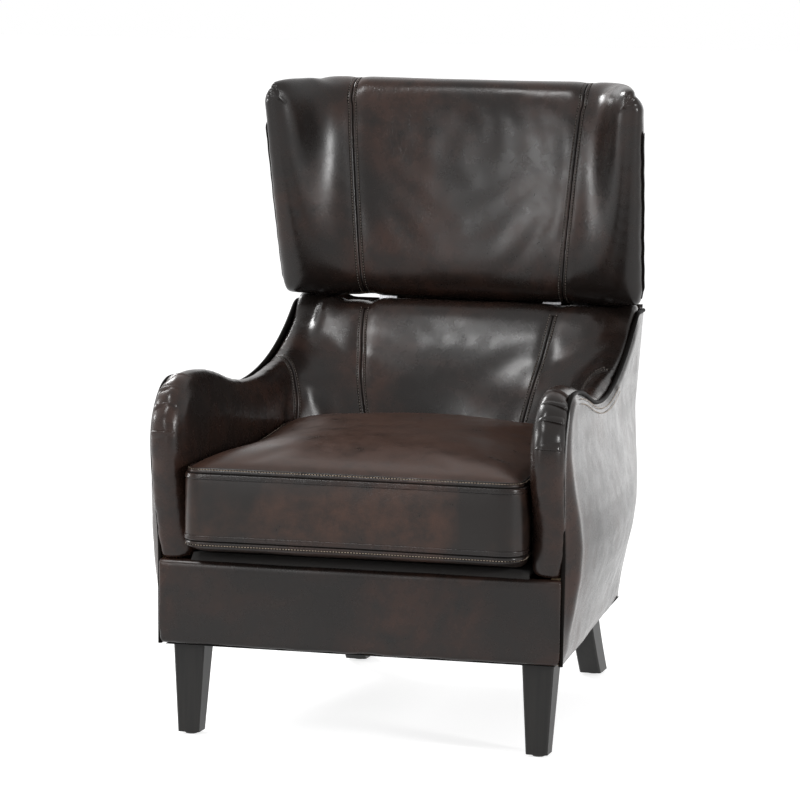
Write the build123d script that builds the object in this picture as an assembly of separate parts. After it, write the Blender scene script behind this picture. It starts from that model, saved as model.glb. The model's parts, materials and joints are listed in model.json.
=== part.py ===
from build123d import *
import math
import os

os.makedirs("parts", exist_ok=True)

# Upholstered wing chair. Millimetres, +Z up, the chair faces -Y, origin on the floor below its middle.

# Overall size
overall_width = 685.8
overall_depth = 828.0
overall_height = 984.25

# Seat base and side walls
leg_height = 145.0
base_height = 133.0
cushion_overhang = 52.0
leg_kick = 96.0
front_half_bottom = 316.0
front_half_top = 320.0
rear_half_bottom = 258.0
rear_half_top = 288.0
back_rake = 2.2
wall_thickness = 50.0
board_thickness = 18.0
edge_padding = 18.0
leather = 2.0
play = 0.4

# Arm outline, seen from the side
arm_swell = 30.0
scroll_radius = 88.0
arm_crest = 552.0
arm_dip = 512.0
arm_dip_y = -30.0
lower_top = 620.0
swoop_end_y = 290.0
swoop_round = 40.0
arm_round = 26.0
welt_edge_round = 5.0

# Outside arm panels
belly_y = -160.0
belly_height = 320.0
panel_edge = 7.0
panel_bow = 4.0
wadding_margin = 30.0
welt_size = 6.0

# Front border
border_thickness = 17.0
border_round = 10.0

# Wooden seat frame
rail_thickness = 22.0
rail_drop = 9.0
block_height = 45.0
block_length = 76.0

# Back frame
post_width = 45.0
post_offset = 190.0
crossbar_height = 46.0
crossbar_drop = 10.0
lumbar_level = 400.0
panel_thickness = 3.0
strap_width = 50.0
strap_thickness = 2.0
strap_count = 4

# Seat suspension
spring_count = 5
spring_pitch = 70.0
spring_wire = 3.6
spring_run = 28.0
spring_turns = 29
clip_width = 20.0
clip_length = 16.0
clip_height = 8.0
deck_thickness = 12.0
dust_cover_thickness = 1.2
dust_cover_margin = 8.0

# Lower back pad
back_bottom_gap = 13.0
back_side_gap = 0.6
back_top_round = 16.0
back_low_round = 8.0
back_front_low = 146.0
back_front_high = 236.0
back_corner_y = 100.0
back_corner_lag = 20.0
back_least_hollow = 12.0

# Upper back
section_gap = 12.0
upper_round = 22.0
upper_low_round = 13.0
upper_frame_drop = 33.0
seam_half_bottom = 168.0
seam_half_top = 196.0
seam_y_bottom = 240.0
seam_y_top = 270.0
centre_hollow = 12.0
welt_half_bottom = 304.0
welt_half_top = 318.0
welt_y_bottom = 259.0
welt_y_top = 159.0
wing_thickness = 50.0
wing_lead_bottom = 39.0
wing_lead_top = 6.0
wing_turn = 1.35
corner_draw_x = 0.9
corner_draw_y = 0.45
side_closing = 0.24
rear_corner = 25.0
upper_rail_height = 48.0
wing_board_thickness = 12.0
wing_board_setback = 30.0

# Lift-off brackets of the upper back
bracket_offset = 140.0
tongue_width = 30.0
tongue_thickness = 3.0
tongue_grip = 40.0
tongue_end_gap = 6.0
pocket_margin = 3.0
socket_wall = 2.0
socket_flange = 15.0
screw_shank = 4.5
screw_length = 14.0
screw_head = 9.0
screw_head_height = 2.4
screw_spread = 0.25

# Seat cushion
cushion_edge = 128.0
cushion_crown = 34.0
cushion_corner = 34.0
cushion_least_corner = 11.0
cushion_corner_loss = 0.125
cushion_low_round = 16.0
cushion_top_round = 13.0
cushion_spread = 170.0
cushion_crown_steps = 6
cushion_pull_in = 4.0
cushion_side_gap = 3.0
cushion_back_gap = 6.0

# Legs
front_leg_top = 50.0
front_leg_foot = 34.0
front_leg_setback = 29.0
front_leg_inset = 10.0
rear_leg_width = 36.0
rear_leg_top = 59.0
rear_leg_foot = 54.0
rear_leg_offset = 204.0
rear_leg_bow = 5.0
leg_chamfer = 2.5
glide_height = 4.0
glide_diameter = 20.0
bolt_diameter = 8.0
bolt_in_leg = 24.0
bolt_in_block = 18.0
insert_diameter = 12.0
insert_length = 22.0
pin_play = 0.1

# Places that follow from the sizes above
base_bottom = leg_height
base_top = base_bottom + base_height
front_y = cushion_overhang - overall_depth / 2
rear_y = overall_depth / 2 - leg_kick
rail_top = base_top - rail_drop
scroll_z = arm_crest - scroll_radius
rake_slope = math.tan(math.radians(back_rake))
frame_back = panel_thickness + play
frame_front = frame_back + rail_thickness
strap_front = frame_front + strap_thickness
back_rail_high = rail_top - frame_front * math.sin(math.radians(back_rake))

# Size of the construction blocks that trim other solids, and how far the trimming walls run past the chair
reach = 2700.0
overrun_length = 100.0


def side_x(y, z):
    """Half width of the twisted outer wall surface at a depth and a height."""
    rise = (z - base_bottom) / (lower_top - base_bottom)
    front = front_half_bottom + (front_half_top - front_half_bottom) * rise
    rear = rear_half_bottom + (rear_half_top - rear_half_bottom) * rise
    along = (y - front_y) / (rear_y - front_y)
    return front + (rear - front) * along


def back_y(z, layer=0.0):
    """Depth of the raked back plane at a height, moved forward by a layer thickness."""
    return rear_y + (z - base_bottom) * rake_slope - layer


def wall(outer, inner):
    """Twisted slab between two depths below the outer wall surface of the right side."""
    front, rear = front_y - overrun_length, rear_y + overrun_length
    sections = []
    for z in (base_bottom - overrun_length, lower_top + overrun_length):
        corners = [
            (side_x(front, z) - outer, front),
            (side_x(rear, z) - outer, rear),
            (side_x(rear, z) - inner, rear),
            (side_x(front, z) - inner, front),
        ]
        sections.append(Pos(0, 0, z) * make_face(Polyline(*corners, close=True)))
    return loft(sections, ruled=True)


def both(part):
    """A part of the right side and its mirror image on the left."""
    return part, mirror(part, about=Plane.YZ)


def trim_sides(part, depth):
    """Cut a middle part off where it meets both walls at a depth below their outer surface."""
    for block in both(wall(-2 * overall_width, depth)):
        part = part - block
    return part


def side_profile(inset, bottom, rear_layer):
    """Prism of the arm and swoop outline, inset, cut at a bottom height and along the back plane."""
    swell_turn = 2 * math.atan2(arm_swell, scroll_z - base_top)
    fall_turn = 2 * math.atan2(arm_crest - arm_dip, arm_dip_y - (front_y - arm_swell + scroll_radius))
    rise_turn = 2 * math.atan2(lower_top - arm_dip, swoop_end_y - arm_dip_y)
    nose_y = front_y - arm_swell
    crest_y = nose_y + scroll_radius
    low = (front_y + inset, base_bottom)
    knee = (front_y + inset, base_top)
    swell = (
        front_y - arm_swell / 2 + inset * math.cos(swell_turn),
        (base_top + scroll_z) / 2 + inset * math.sin(swell_turn),
    )
    nose = (nose_y + inset, scroll_z)
    crest = (crest_y, arm_crest - inset)
    fall = (
        (crest_y + arm_dip_y) / 2 - inset * math.sin(fall_turn),
        (arm_crest + arm_dip) / 2 - inset * math.cos(fall_turn),
    )
    dip = (arm_dip_y, arm_dip - inset)
    rise = (
        swoop_end_y - (swoop_round - inset) * math.sin(rise_turn),
        lower_top - swoop_round + (swoop_round - inset) * math.cos(rise_turn),
    )
    end = (swoop_end_y, lower_top - inset)
    rear_high = (back_y(lower_top - inset, rear_layer), lower_top - inset)
    rear_low = (back_y(base_bottom, rear_layer), base_bottom)
    outline = [
        Line(low, knee),
        TangentArc(knee, swell, tangent=(0, 1)),
        TangentArc(nose, swell, tangent=(0, -1)),
        TangentArc(nose, crest, tangent=(0, 1)),
        TangentArc(crest, fall, tangent=(1, 0)),
        TangentArc(dip, fall, tangent=(-1, 0)),
        TangentArc(dip, rise, tangent=(1, 0)),
        TangentArc(end, rise, tangent=(-1, 0)),
        Line(end, rear_high),
        Line(rear_high, rear_low),
        Line(rear_low, low),
    ]
    prism = extrude(Plane.YZ * make_face(outline), overall_width)
    if bottom > base_bottom:
        above = Box(reach, reach, reach, align=(Align.CENTER, Align.CENTER, Align.MIN))
        prism = prism & Pos(0, 0, bottom) * above
    return prism


def round_wall(part, inner_radius, outer_radius=0.0):
    """Round the top and front edges of an arm, more on its inner side than at its outer side."""
    faces = part.faces().sort_by(Axis.X)
    bottom = part.bounding_box().min.Z
    rear = part.bounding_box().max.Y

    def rim(face):
        return [e for e in face.edges() if e.center().Z > bottom + play and not runs_down_rear(e)]

    def runs_down_rear(edge):
        box = edge.bounding_box()
        return box.min.Y > rear - wall_thickness and box.size.Z > scroll_radius

    rounded = fillet(rim(faces[0]), inner_radius)
    if outer_radius > 0:
        outer_face = rounded.faces().sort_by(Axis.X)[-1]
        rounded = fillet(rim(outer_face), outer_radius)
    return rounded


# Back plane: local x runs across, local y up the rake, local z forward from the rear surface
rake = math.radians(back_rake)
back_plane = Plane(
    origin=(0, rear_y, base_bottom),
    x_dir=(1, 0, 0),
    z_dir=(0, -math.cos(rake), math.sin(rake)),
)


def up_back(z):
    """Distance up the raked back plane to a height."""
    return (z - base_bottom) / math.cos(rake)


def back_slab(x, low, high, layer, thickness, centre=0.0):
    """Flat bar in the back plane, between two heights, at a layer in front of the rear surface."""
    size = Box(x, up_back(high) - up_back(low), thickness, align=(Align.CENTER, Align.MIN, Align.MIN))
    return back_plane * Pos(centre, up_back(low), layer) * size


def upright_bar(x_low, x_high, y_low, y_high, z_low, z_high):
    """Box between two corners."""
    size = (x_high - x_low, y_high - y_low, z_high - z_low)
    return Pos(x_low, y_low, z_low) * Box(*size, align=(Align.MIN, Align.MIN, Align.MIN))


# Arms: plywood side boards, foam, leather covers, outside panels and welts
def side_board():
    return wall(0, board_thickness) & side_profile(edge_padding, base_bottom, frame_back)


def arm_block(skin, outer, overrun):
    """Rounded arm form, a skin thickness inside the outer form, longer by an overrun at its open sides."""
    bottom = base_top + play - overrun
    form = wall(outer, wall_thickness - skin) & side_profile(skin, bottom, frame_front + play - overrun)
    return round_wall(form, arm_round - skin, 0.0 if skin else welt_edge_round)


def arm_cover():
    return arm_block(0.0, 0.0, 0.0) - arm_block(leather, -leather, 2 * leather)


def arm_pad(board):
    return arm_block(leather + play, 0.0, 0.0) - board


def belly_share(z):
    """Share of the full belly at a height: one at its middle, none at the base and at the arm's dip."""
    span = belly_height - base_bottom if z < belly_height else arm_dip - belly_height
    return math.cos(math.pi / 2 * min(abs(z - belly_height) / span, 1.0)) ** 2


def belly_block(skin):
    """Outside arm form, flat on the wall and bellied outward to the full width of the chair."""
    front, rear = front_y - arm_swell - wall_thickness, back_y(lower_top) + wall_thickness
    full = overall_width / 2 - side_x(belly_y, belly_height)
    proud = leather + play
    low_levels = [base_bottom + (belly_height - base_bottom) * n / 4 for n in range(5)]
    high_levels = [belly_height + (arm_dip - belly_height) * n / 4 for n in range(1, 5)]
    sections = []
    for z in [base_bottom - proud, *low_levels, *high_levels, lower_top + proud]:
        least = proud + panel_bow
        swell = least + (full - least) * belly_share(z)
        apex = (side_x(belly_y, z) + swell - skin, belly_y)
        front_out = (side_x(front, z) + proud - skin, front)
        rear_out = (side_x(rear, z) + proud - skin, rear)
        front_in = (side_x(front, z) - board_thickness, front)
        rear_in = (side_x(rear, z) - board_thickness, rear)
        outline = [
            ThreePointArc(front_out, apex, rear_out),
            Line(rear_out, rear_in),
            Line(rear_in, front_in),
            Line(front_in, front_out),
        ]
        sections.append(Pos(0, 0, z) * make_face(outline))
    return loft(sections, ruled=True)


def outside_panel():
    skin = belly_block(0.0) - belly_block(leather)
    return (skin & side_profile(panel_edge, base_bottom, 0.0)) - wall(-play, wall_thickness)


def outside_wadding():
    outline = side_profile(wadding_margin, base_bottom + wadding_margin, wadding_margin)
    return (belly_block(leather + play) & outline) - wall(-play, wall_thickness)


def arm_welt():
    inside = side_profile(welt_size + play, base_bottom, -wall_thickness)
    return (side_profile(play, base_bottom, 0.0) - inside) & wall(-welt_size - play, -play)


# Front border below the seat cushion
def border_form(skin, overrun):
    low, high = base_bottom + skin, base_top - skin
    front, back = front_y + skin, front_y + border_thickness + overrun
    bar = upright_bar(-overall_width, overall_width, front, back, low, high)
    nose = bar.edges().filter_by(Axis.X).group_by(Axis.Y)[0]
    return trim_sides(fillet(nose, border_round - skin), 0.0)


# Wooden seat frame
def front_rail():
    near = front_y + border_thickness + play
    bar = upright_bar(-overall_width, overall_width, near, near + rail_thickness, base_bottom, rail_top)
    return trim_sides(bar, board_thickness)


def back_rail():
    low = base_bottom + block_height
    bar = back_slab(2 * overall_width, low, back_rail_high, frame_back, rail_thickness)
    return trim_sides(bar, board_thickness)


front_leg_front = front_y + front_leg_setback
front_leg_y = front_leg_front + front_leg_top / 2
front_leg_x = side_x(front_leg_y, base_bottom) - front_leg_inset - front_leg_top / 2
rear_leg_back = rear_y - play
rear_leg_y = rear_leg_back - rear_leg_top / 2
leg_places = [
    (front_leg_x, front_leg_y),
    (-front_leg_x, front_leg_y),
    (rear_leg_offset, rear_leg_y),
    (-rear_leg_offset, rear_leg_y),
]


def upright_pin(x, y, low, high, diameter):
    """Upright round pin between two heights."""
    pin = Cylinder(diameter / 2, high - low, align=(Align.CENTER, Align.CENTER, Align.MIN))
    return Pos(x, y, low) * pin


def corner_block(x, y):
    """Hardwood corner block above a leg, bored for the leg's threaded insert."""
    rail_back = front_y + border_thickness + play + rail_thickness
    half = block_length / 2
    if y < 0:
        near, far = rail_back, rail_back + block_length
    else:
        near, far = y - half, rear_y - frame_back
    inner = abs(x) - half
    outer = overall_width / 2
    sides = (inner, outer) if x > 0 else (-outer, -inner)
    block = upright_bar(*sides, near, far, base_bottom, base_bottom + block_height)
    block = trim_sides(block, board_thickness)
    bore = upright_pin(x, y, base_bottom, base_bottom + insert_length, insert_diameter + 2 * pin_play)
    return block - bore


def leg_insert(x, y):
    high = base_bottom + insert_length
    sleeve = upright_pin(x, y, base_bottom, high, insert_diameter)
    return sleeve - upright_pin(x, y, base_bottom, high, bolt_diameter + 2 * pin_play)


def leg_bolt(x, y):
    return upright_pin(x, y, base_bottom - bolt_in_leg, base_bottom + bolt_in_block, bolt_diameter)


def bolt_bore(x, y):
    return upright_pin(x, y, base_bottom - bolt_in_leg, base_bottom, bolt_diameter + 2 * pin_play)


# Legs
def front_leg():
    foot_y = front_leg_front + front_leg_foot / 2
    foot = Pos(front_leg_x, foot_y, glide_height) * Rectangle(front_leg_foot, front_leg_foot)
    top = Pos(front_leg_x, front_leg_y, base_bottom) * Rectangle(front_leg_top, front_leg_top)
    leg = loft([foot, top])
    corners = [e for e in leg.edges() if e.bounding_box().size.Z > base_bottom / 2]
    return chamfer(corners, leg_chamfer) - bolt_bore(front_leg_x, front_leg_y)


def rear_leg():
    """Sabre leg, raked back and slightly bowed."""
    foot_back = overall_depth / 2
    foot_front = foot_back - rear_leg_foot
    top_front = rear_leg_back - rear_leg_top
    middle = (base_bottom + glide_height) / 2
    front_bow = ((foot_front + top_front) / 2 - rear_leg_bow, middle)
    back_bow = ((foot_back + rear_leg_back) / 2 - rear_leg_bow, middle)
    outline = [
        ThreePointArc((top_front, base_bottom), front_bow, (foot_front, glide_height)),
        Line((foot_front, glide_height), (foot_back, glide_height)),
        ThreePointArc((foot_back, glide_height), back_bow, (rear_leg_back, base_bottom)),
        Line((rear_leg_back, base_bottom), (top_front, base_bottom)),
    ]
    leg = extrude(Plane.YZ * make_face(outline), rear_leg_width)
    corners = [e for e in leg.edges() if e.bounding_box().size.Z > base_bottom / 2]
    leg = Pos(rear_leg_offset - rear_leg_width / 2, 0, 0) * chamfer(corners, leg_chamfer)
    return leg - bolt_bore(rear_leg_offset, rear_leg_y)


def glide(x, y):
    disc = upright_pin(x, y, 0.0, glide_height, glide_diameter)
    return chamfer(disc.edges().group_by(Axis.Z)[0], glide_height / 4)


# Seat suspension: zigzag springs held in clips on the front and back rails
spring_front = front_y + border_thickness + play + rail_thickness / 2
spring_rear = back_y(rail_top, (frame_back + frame_front) / 2)
spring_z = rail_top + clip_height / 2
spring_places = [spring_pitch * (n - (spring_count - 1) / 2) for n in range(spring_count)]


def zigzag_spring():
    """One strand along Y: straight runs joined by half turns, each of two quarter arcs."""
    turn = (spring_rear - spring_front) / spring_turns / 2
    path = []
    side = 1
    for n in range(spring_turns + 1):
        y = spring_front + 2 * turn * n
        end = (side * spring_run / 2, y)
        path.append(Line((-side * spring_run / 2, y), end))
        if n < spring_turns:
            middle = (end[0] + side * turn, y + turn)
            path.append(TangentArc(end, middle, tangent=(side, 0)))
            path.append(TangentArc(middle, (end[0], y + 2 * turn), tangent=(0, 1)))
        side = -side
    wire = Pos(0, 0, spring_z) * Wire(path)
    return sweep((wire ^ 0) * Circle(spring_wire / 2), path=wire)


def spring_clip(x, y, opens):
    """Clip on a rail, with a slot that opens towards the seat."""
    block = Pos(x, y, spring_z) * Box(clip_width, clip_length, clip_height)
    slot_height = spring_wire + 2 * play
    slot = Pos(x, y + opens * (clip_length - slot_height) / 2, spring_z)
    return block - slot * Box(clip_width, clip_length, slot_height)


deck_low = rail_top + clip_height + play
deck_top = deck_low + deck_thickness


def seat_deck():
    near = front_y + border_thickness + play
    far = back_y(deck_low, strap_front + 2 * play)
    pad = upright_bar(-overall_width, overall_width, near, far, deck_low, deck_top)
    return trim_sides(pad, wall_thickness + play)


def dust_cover():
    front, rear = front_y + dust_cover_margin, rear_y - dust_cover_margin
    front_half = side_x(front, base_bottom) - dust_cover_margin
    rear_half = side_x(rear, base_bottom) - dust_cover_margin
    corners = [(-front_half, front), (front_half, front), (rear_half, rear), (-rear_half, rear)]
    face = make_face(Polyline(*corners, close=True))
    sheet = extrude(Pos(0, 0, base_bottom - dust_cover_thickness) * face, dust_cover_thickness)
    for x, y in leg_places:
        across = front_leg_top if y < 0 else rear_leg_width
        along = front_leg_top if y < 0 else rear_leg_top + 2 * dust_cover_thickness
        hole = Box(across + 2 * play, along + 2 * play, 4 * dust_cover_thickness)
        sheet = sheet - Pos(x, y, base_bottom) * hole
    return sheet


# Lower back: posts, crossbars, straps, pad, cover and outside panel
crossbar_high = lower_top - crossbar_drop
crossbar_low = crossbar_high - crossbar_height
lumbar_low = lumbar_level - crossbar_height / 2


def back_posts():
    return [
        back_slab(post_width, back_rail_high, crossbar_low, frame_back, rail_thickness, side * post_offset)
        for side in (1, -1)
    ]


def top_crossbar():
    bar = back_slab(2 * overall_width, crossbar_low, crossbar_high, frame_back, rail_thickness)
    return trim_sides(bar, board_thickness)


def lumbar_bar():
    between = 2 * post_offset - post_width
    return back_slab(between, lumbar_low, lumbar_low + crossbar_height, frame_back, rail_thickness)


def back_straps():
    step = (crossbar_low - rail_top) / strap_count
    length = 2 * post_offset + post_width
    straps = []
    for n in range(strap_count):
        low = rail_top + step * (n + 0.5) - strap_width / 2
        straps.append(back_slab(length, low, low + strap_width, frame_front, strap_thickness))
    return straps


def swoop_y(z):
    """Depth at which the rising arm outline reaches a height above its dip."""
    rise_turn = 2 * math.atan2(lower_top - arm_dip, swoop_end_y - arm_dip_y)
    radius = (swoop_end_y - arm_dip_y) / math.sin(rise_turn) - swoop_round
    lift = min(max(z - arm_dip, 0.0), radius)
    return arm_dip_y + math.sqrt(radius**2 - (radius - lift) ** 2)


back_low = base_top + back_bottom_gap


def back_hollow(z):
    """Front surface of the lower back at its middle and at its side corners."""
    share = (z - back_low) / (lower_top - back_low)
    middle = back_front_low + (back_front_high - back_front_low) * share**2
    corner = min(max(back_corner_y, swoop_y(z) + back_corner_lag), middle - back_least_hollow)
    return middle, corner


def round_levels(low, high, radius_low, radius_high, spans):
    """Heights and insets of sections that round the lower and upper edges of a loft by quarter circles."""
    turns = [math.radians(a) for a in (0, 30, 60, 90)]
    levels = [(low + radius_low * (1 - math.cos(a)), radius_low * (1 - math.sin(a))) for a in turns]
    first, last = low + radius_low, high - radius_high
    levels += [(first + (last - first) * n / spans, 0.0) for n in range(1, spans)]
    for a in reversed(turns):
        levels.append((high - radius_high * (1 - math.cos(a)), radius_high * (1 - math.sin(a))))
    return levels


def lower_back_form(skin, rear_layer):
    sections = []
    low, high = back_low + skin, lower_top - skin
    for z, inset in round_levels(low, high, back_low_round - skin, back_top_round - skin, 6):
        middle, corner = back_hollow(z)
        rear = back_y(z, rear_layer)
        near = corner + skin + inset
        depth = wall_thickness + back_side_gap + skin
        front_side = (side_x(near, z) - depth, near)
        rear_side = (side_x(rear, z) - depth, rear)
        outline = [
            ThreePointArc((-front_side[0], near), (0, middle + skin + inset), front_side),
            Line(front_side, rear_side),
            Line(rear_side, (-rear_side[0], rear)),
            Line((-rear_side[0], rear), (-front_side[0], near)),
        ]
        sections.append(Pos(0, 0, z) * make_face(outline))
    return loft(sections, ruled=True)


def outside_back():
    low, high = (up_back(z) for z in (base_bottom, lower_top))
    low_half = side_x(rear_y, base_bottom)
    high_half = side_x(back_y(lower_top), lower_top)
    outline = Polyline((-low_half, low), (low_half, low), (high_half, high), (-high_half, high), close=True)
    return extrude(back_plane * make_face(outline), panel_thickness)


# Upper back: a winged pad on its own frame
upper_low = lower_top + section_gap


def upper_at(z, low, high):
    """Figure of the upper back at a height, between its values at the bottom and at the top."""
    return low + (high - low) * (z - upper_low) / (overall_height - upper_low)


def seam_corner(z):
    """Place of the front seam on the right side at a height."""
    return upper_at(z, seam_half_bottom, seam_half_top), upper_at(z, seam_y_bottom, seam_y_top)


def welt_corner(z):
    """Place of the wing's outer front edge on the right side at a height."""
    return upper_at(z, welt_half_bottom, welt_half_top), upper_at(z, welt_y_bottom, welt_y_top)


def upper_slice(z, inset):
    """Plan outline of the winged upper back at a height, moved inward by an inset."""
    seam = seam_corner(z)
    welt = welt_corner(z)
    tip = (welt[0] - wing_thickness, welt[1] - upper_at(z, wing_lead_bottom, wing_lead_top))
    rear = back_y(z)
    rear_half = welt[0] - side_closing * (rear - welt[1])
    hollow_radius = (seam[0] ** 2 + centre_hollow**2) / (2 * centre_hollow)
    start = math.asin(seam[0] / hollow_radius)
    chord = math.atan2(seam[1] - tip[1], tip[0] - seam[0])
    end = start + (chord - start) * wing_turn
    run, fall = tip[0] - seam[0], seam[1] - tip[1]
    radius = (run * math.tan(end) - fall) / (
        (math.sin(end) - math.sin(start)) * math.tan(end) - math.cos(start) + math.cos(end)
    )
    bend = (
        seam[0] + radius * (math.sin(end) - math.sin(start)),
        seam[1] - radius * (math.cos(start) - math.cos(end)),
    )

    def inward(point, angle):
        return point[0] + inset * math.sin(angle), point[1] + inset * math.cos(angle)

    seam_in, bend_in, tip_in = inward(seam, start), inward(bend, end), inward(tip, end)
    welt_in = (welt[0] - corner_draw_x * inset, welt[1] + corner_draw_y * inset)
    turn_in = (rear_half - inset, rear - rear_corner - inset)
    rear_in = (rear_half - rear_corner - inset, rear - inset)
    right = [
        TangentArc(seam_in, bend_in, tangent=(math.cos(start), -math.sin(start))),
        Line(bend_in, tip_in),
        TangentArc(tip_in, welt_in, tangent=(math.cos(end), -math.sin(end))),
        Line(welt_in, turn_in),
        TangentArc(rear_in, turn_in, tangent=(1, 0)),
    ]
    left = [mirror(edge, about=Plane.YZ) for edge in right]
    front = ThreePointArc((-seam_in[0], seam_in[1]), (0, seam[1] + centre_hollow + inset), seam_in)
    back = Line(rear_in, (-rear_in[0], rear_in[1]))
    return Pos(0, 0, z) * make_face([front, *right, back, *left])


def upper_form(skin):
    low, high = upper_low + skin, overall_height - skin
    levels = round_levels(low, high, upper_low_round - skin, upper_round - skin, 4)
    return loft([upper_slice(z, inset + skin) for z, inset in levels], ruled=True)


def upper_rear_region():
    """Region behind the welts that holds the outside panel of the upper back."""
    sections = []
    for z in (upper_low - upper_round, overall_height - upper_frame_drop):
        half, welt_y = welt_corner(z)
        seam_half, seam_y = seam_corner(z)
        middle = (seam_y + centre_hollow + back_y(z)) / 2
        right = [
            (seam_half + wing_thickness / 2, middle),
            (half - wing_thickness / 2, welt_y),
            (half + wing_thickness, welt_y),
            (half + wing_thickness, back_y(z) + wing_thickness),
        ]
        left = [(-x, y) for x, y in reversed(right)]
        sections.append(Pos(0, 0, z) * make_face(Polyline(*right, *left, close=True)))
    return loft(sections, ruled=True)


upper_frame_low = upper_low + upper_round
upper_frame_high = overall_height - upper_frame_drop
upper_frame_back = frame_back + play
upper_frame_front = upper_frame_back + rail_thickness


def wing_board(outward, beyond=0.0):
    """Wing board of the right side, in the middle of the wing, made larger for trimming other parts."""
    sections = []
    for z in (upper_frame_low - beyond, upper_frame_high + beyond):
        half, welt_y = welt_corner(z)
        near = (half - (wing_thickness + wing_board_thickness) / 2, welt_y + wing_board_setback)
        rear_half = half - side_closing * (back_y(z) - welt_y)
        far = (rear_half - rear_corner - wing_board_thickness, back_y(z, upper_frame_back))
        corners = [near, (near[0] + outward, near[1]), (far[0] + outward, far[1]), far]
        sections.append(Pos(0, 0, z) * make_face(Polyline(*corners, close=True)))
    return loft(sections, ruled=True)


def trim_wings(part):
    for block in both(wing_board(overall_width, upper_round)):
        part = part - block
    return part


def upper_rail(low):
    bar = back_slab(2 * welt_half_top, low, low + upper_rail_height, upper_frame_back, rail_thickness)
    return trim_wings(bar)


def upper_post(side, deep=0.0):
    low, high = upper_frame_low + upper_rail_height, upper_frame_high - upper_rail_height
    layer, thickness = upper_frame_back - deep, rail_thickness + deep
    return back_slab(post_width, low, high, layer, thickness, side * post_offset)


# Brackets: a tongue on the upper back slides into a socket on the lower back
tongue_low = crossbar_low + tongue_end_gap
tongue_high = upper_frame_low + tongue_grip
tongue_layer = frame_front + play
socket_low, socket_high = crossbar_low + play, crossbar_high - play
socket_depth = 2 * play + tongue_thickness + socket_wall
flange_offset = tongue_width / 2 + play + socket_wall + socket_flange / 2


def bracket_tongue(side):
    centre = side * bracket_offset
    return back_slab(tongue_width, tongue_low, tongue_high, tongue_layer, tongue_thickness, centre)


def bracket_socket(side):
    """Hat-shaped socket: a bridge and two webs round the tongue, and two screw flanges."""
    centre = side * bracket_offset
    web = tongue_width / 2 + play + socket_wall / 2
    bridge_width = tongue_width + 2 * (play + socket_wall)
    bridge_layer = frame_front + socket_depth - socket_wall
    socket = back_slab(bridge_width, socket_low, socket_high, bridge_layer, socket_wall, centre)
    for hand in (1, -1):
        side_web, flange = centre + hand * web, centre + hand * flange_offset
        socket += back_slab(socket_wall, socket_low, socket_high, frame_front, socket_depth, side_web)
        socket += back_slab(socket_flange, socket_low, socket_high, frame_front, socket_wall, flange)
    return socket


socket_screw_places = [
    (side * bracket_offset + hand * flange_offset, crossbar_low + crossbar_height * level)
    for side in (1, -1)
    for hand in (1, -1)
    for level in (screw_spread, 1 - screw_spread)
]
tongue_screw_places = [
    (side * bracket_offset, upper_frame_low + tongue_grip * level)
    for side in (1, -1)
    for level in (screw_spread, 1 - screw_spread)
]


def screw(x, z, layer, plate, widen=0.0):
    """Pan-head wood screw driven backward through a plate; widen gives the bore it needs."""
    shank_length = screw_length + plate
    shank = Cylinder(screw_shank / 2 + widen, shank_length, align=(Align.CENTER, Align.CENTER, Align.MAX))
    if not widen:
        shank += Cylinder(screw_head / 2, screw_head_height, align=(Align.CENTER, Align.CENTER, Align.MIN))
    return back_plane * Pos(x, up_back(z), layer + plate) * shank


def drill(part, places, layer, plate):
    for x, z in places:
        part = part - screw(x, z, layer, plate, pin_play)
    return part


def bracket_pocket(side, low, high, half, layer, depth):
    """Room for a bracket in the padding around it."""
    return back_slab(2 * half, low, high, layer, depth, side * bracket_offset)


lower_pocket_half = flange_offset + socket_flange / 2 + pocket_margin
upper_pocket_half = tongue_width / 2 + pocket_margin


def cut_lower_pockets(part):
    for side in (1, -1):
        low, high = crossbar_low - pocket_margin, lower_top + pocket_margin
        depth = socket_depth + 2 * play
        part = part - bracket_pocket(side, low, high, lower_pocket_half, frame_front, depth)
    return part


def cut_upper_pockets(part):
    for side in (1, -1):
        low, high = upper_low - pocket_margin, tongue_high + pocket_margin
        depth = tongue_thickness + screw_head_height + 2 * play
        layer = upper_frame_front - pocket_margin
        part = part - bracket_pocket(side, low, high, upper_pocket_half, layer, depth + pocket_margin)
    return part


def upper_pad(boards):
    pad = upper_form(leather + 2 * play)
    deep = upper_frame_back + pocket_margin
    for low in (upper_frame_low, upper_frame_high - upper_rail_height):
        high, thickness = low + upper_rail_height, rail_thickness + deep
        pad = pad - trim_wings(back_slab(2 * welt_half_top, low, high, -pocket_margin, thickness))
    for side in (1, -1):
        pad = pad - upper_post(side, deep)
    for board in boards:
        pad = pad - board
    return cut_upper_pockets(pad)


# Seat cushion: crowned, with drawn-in sides, on the deck
cushion_low = deck_top + play


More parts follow.
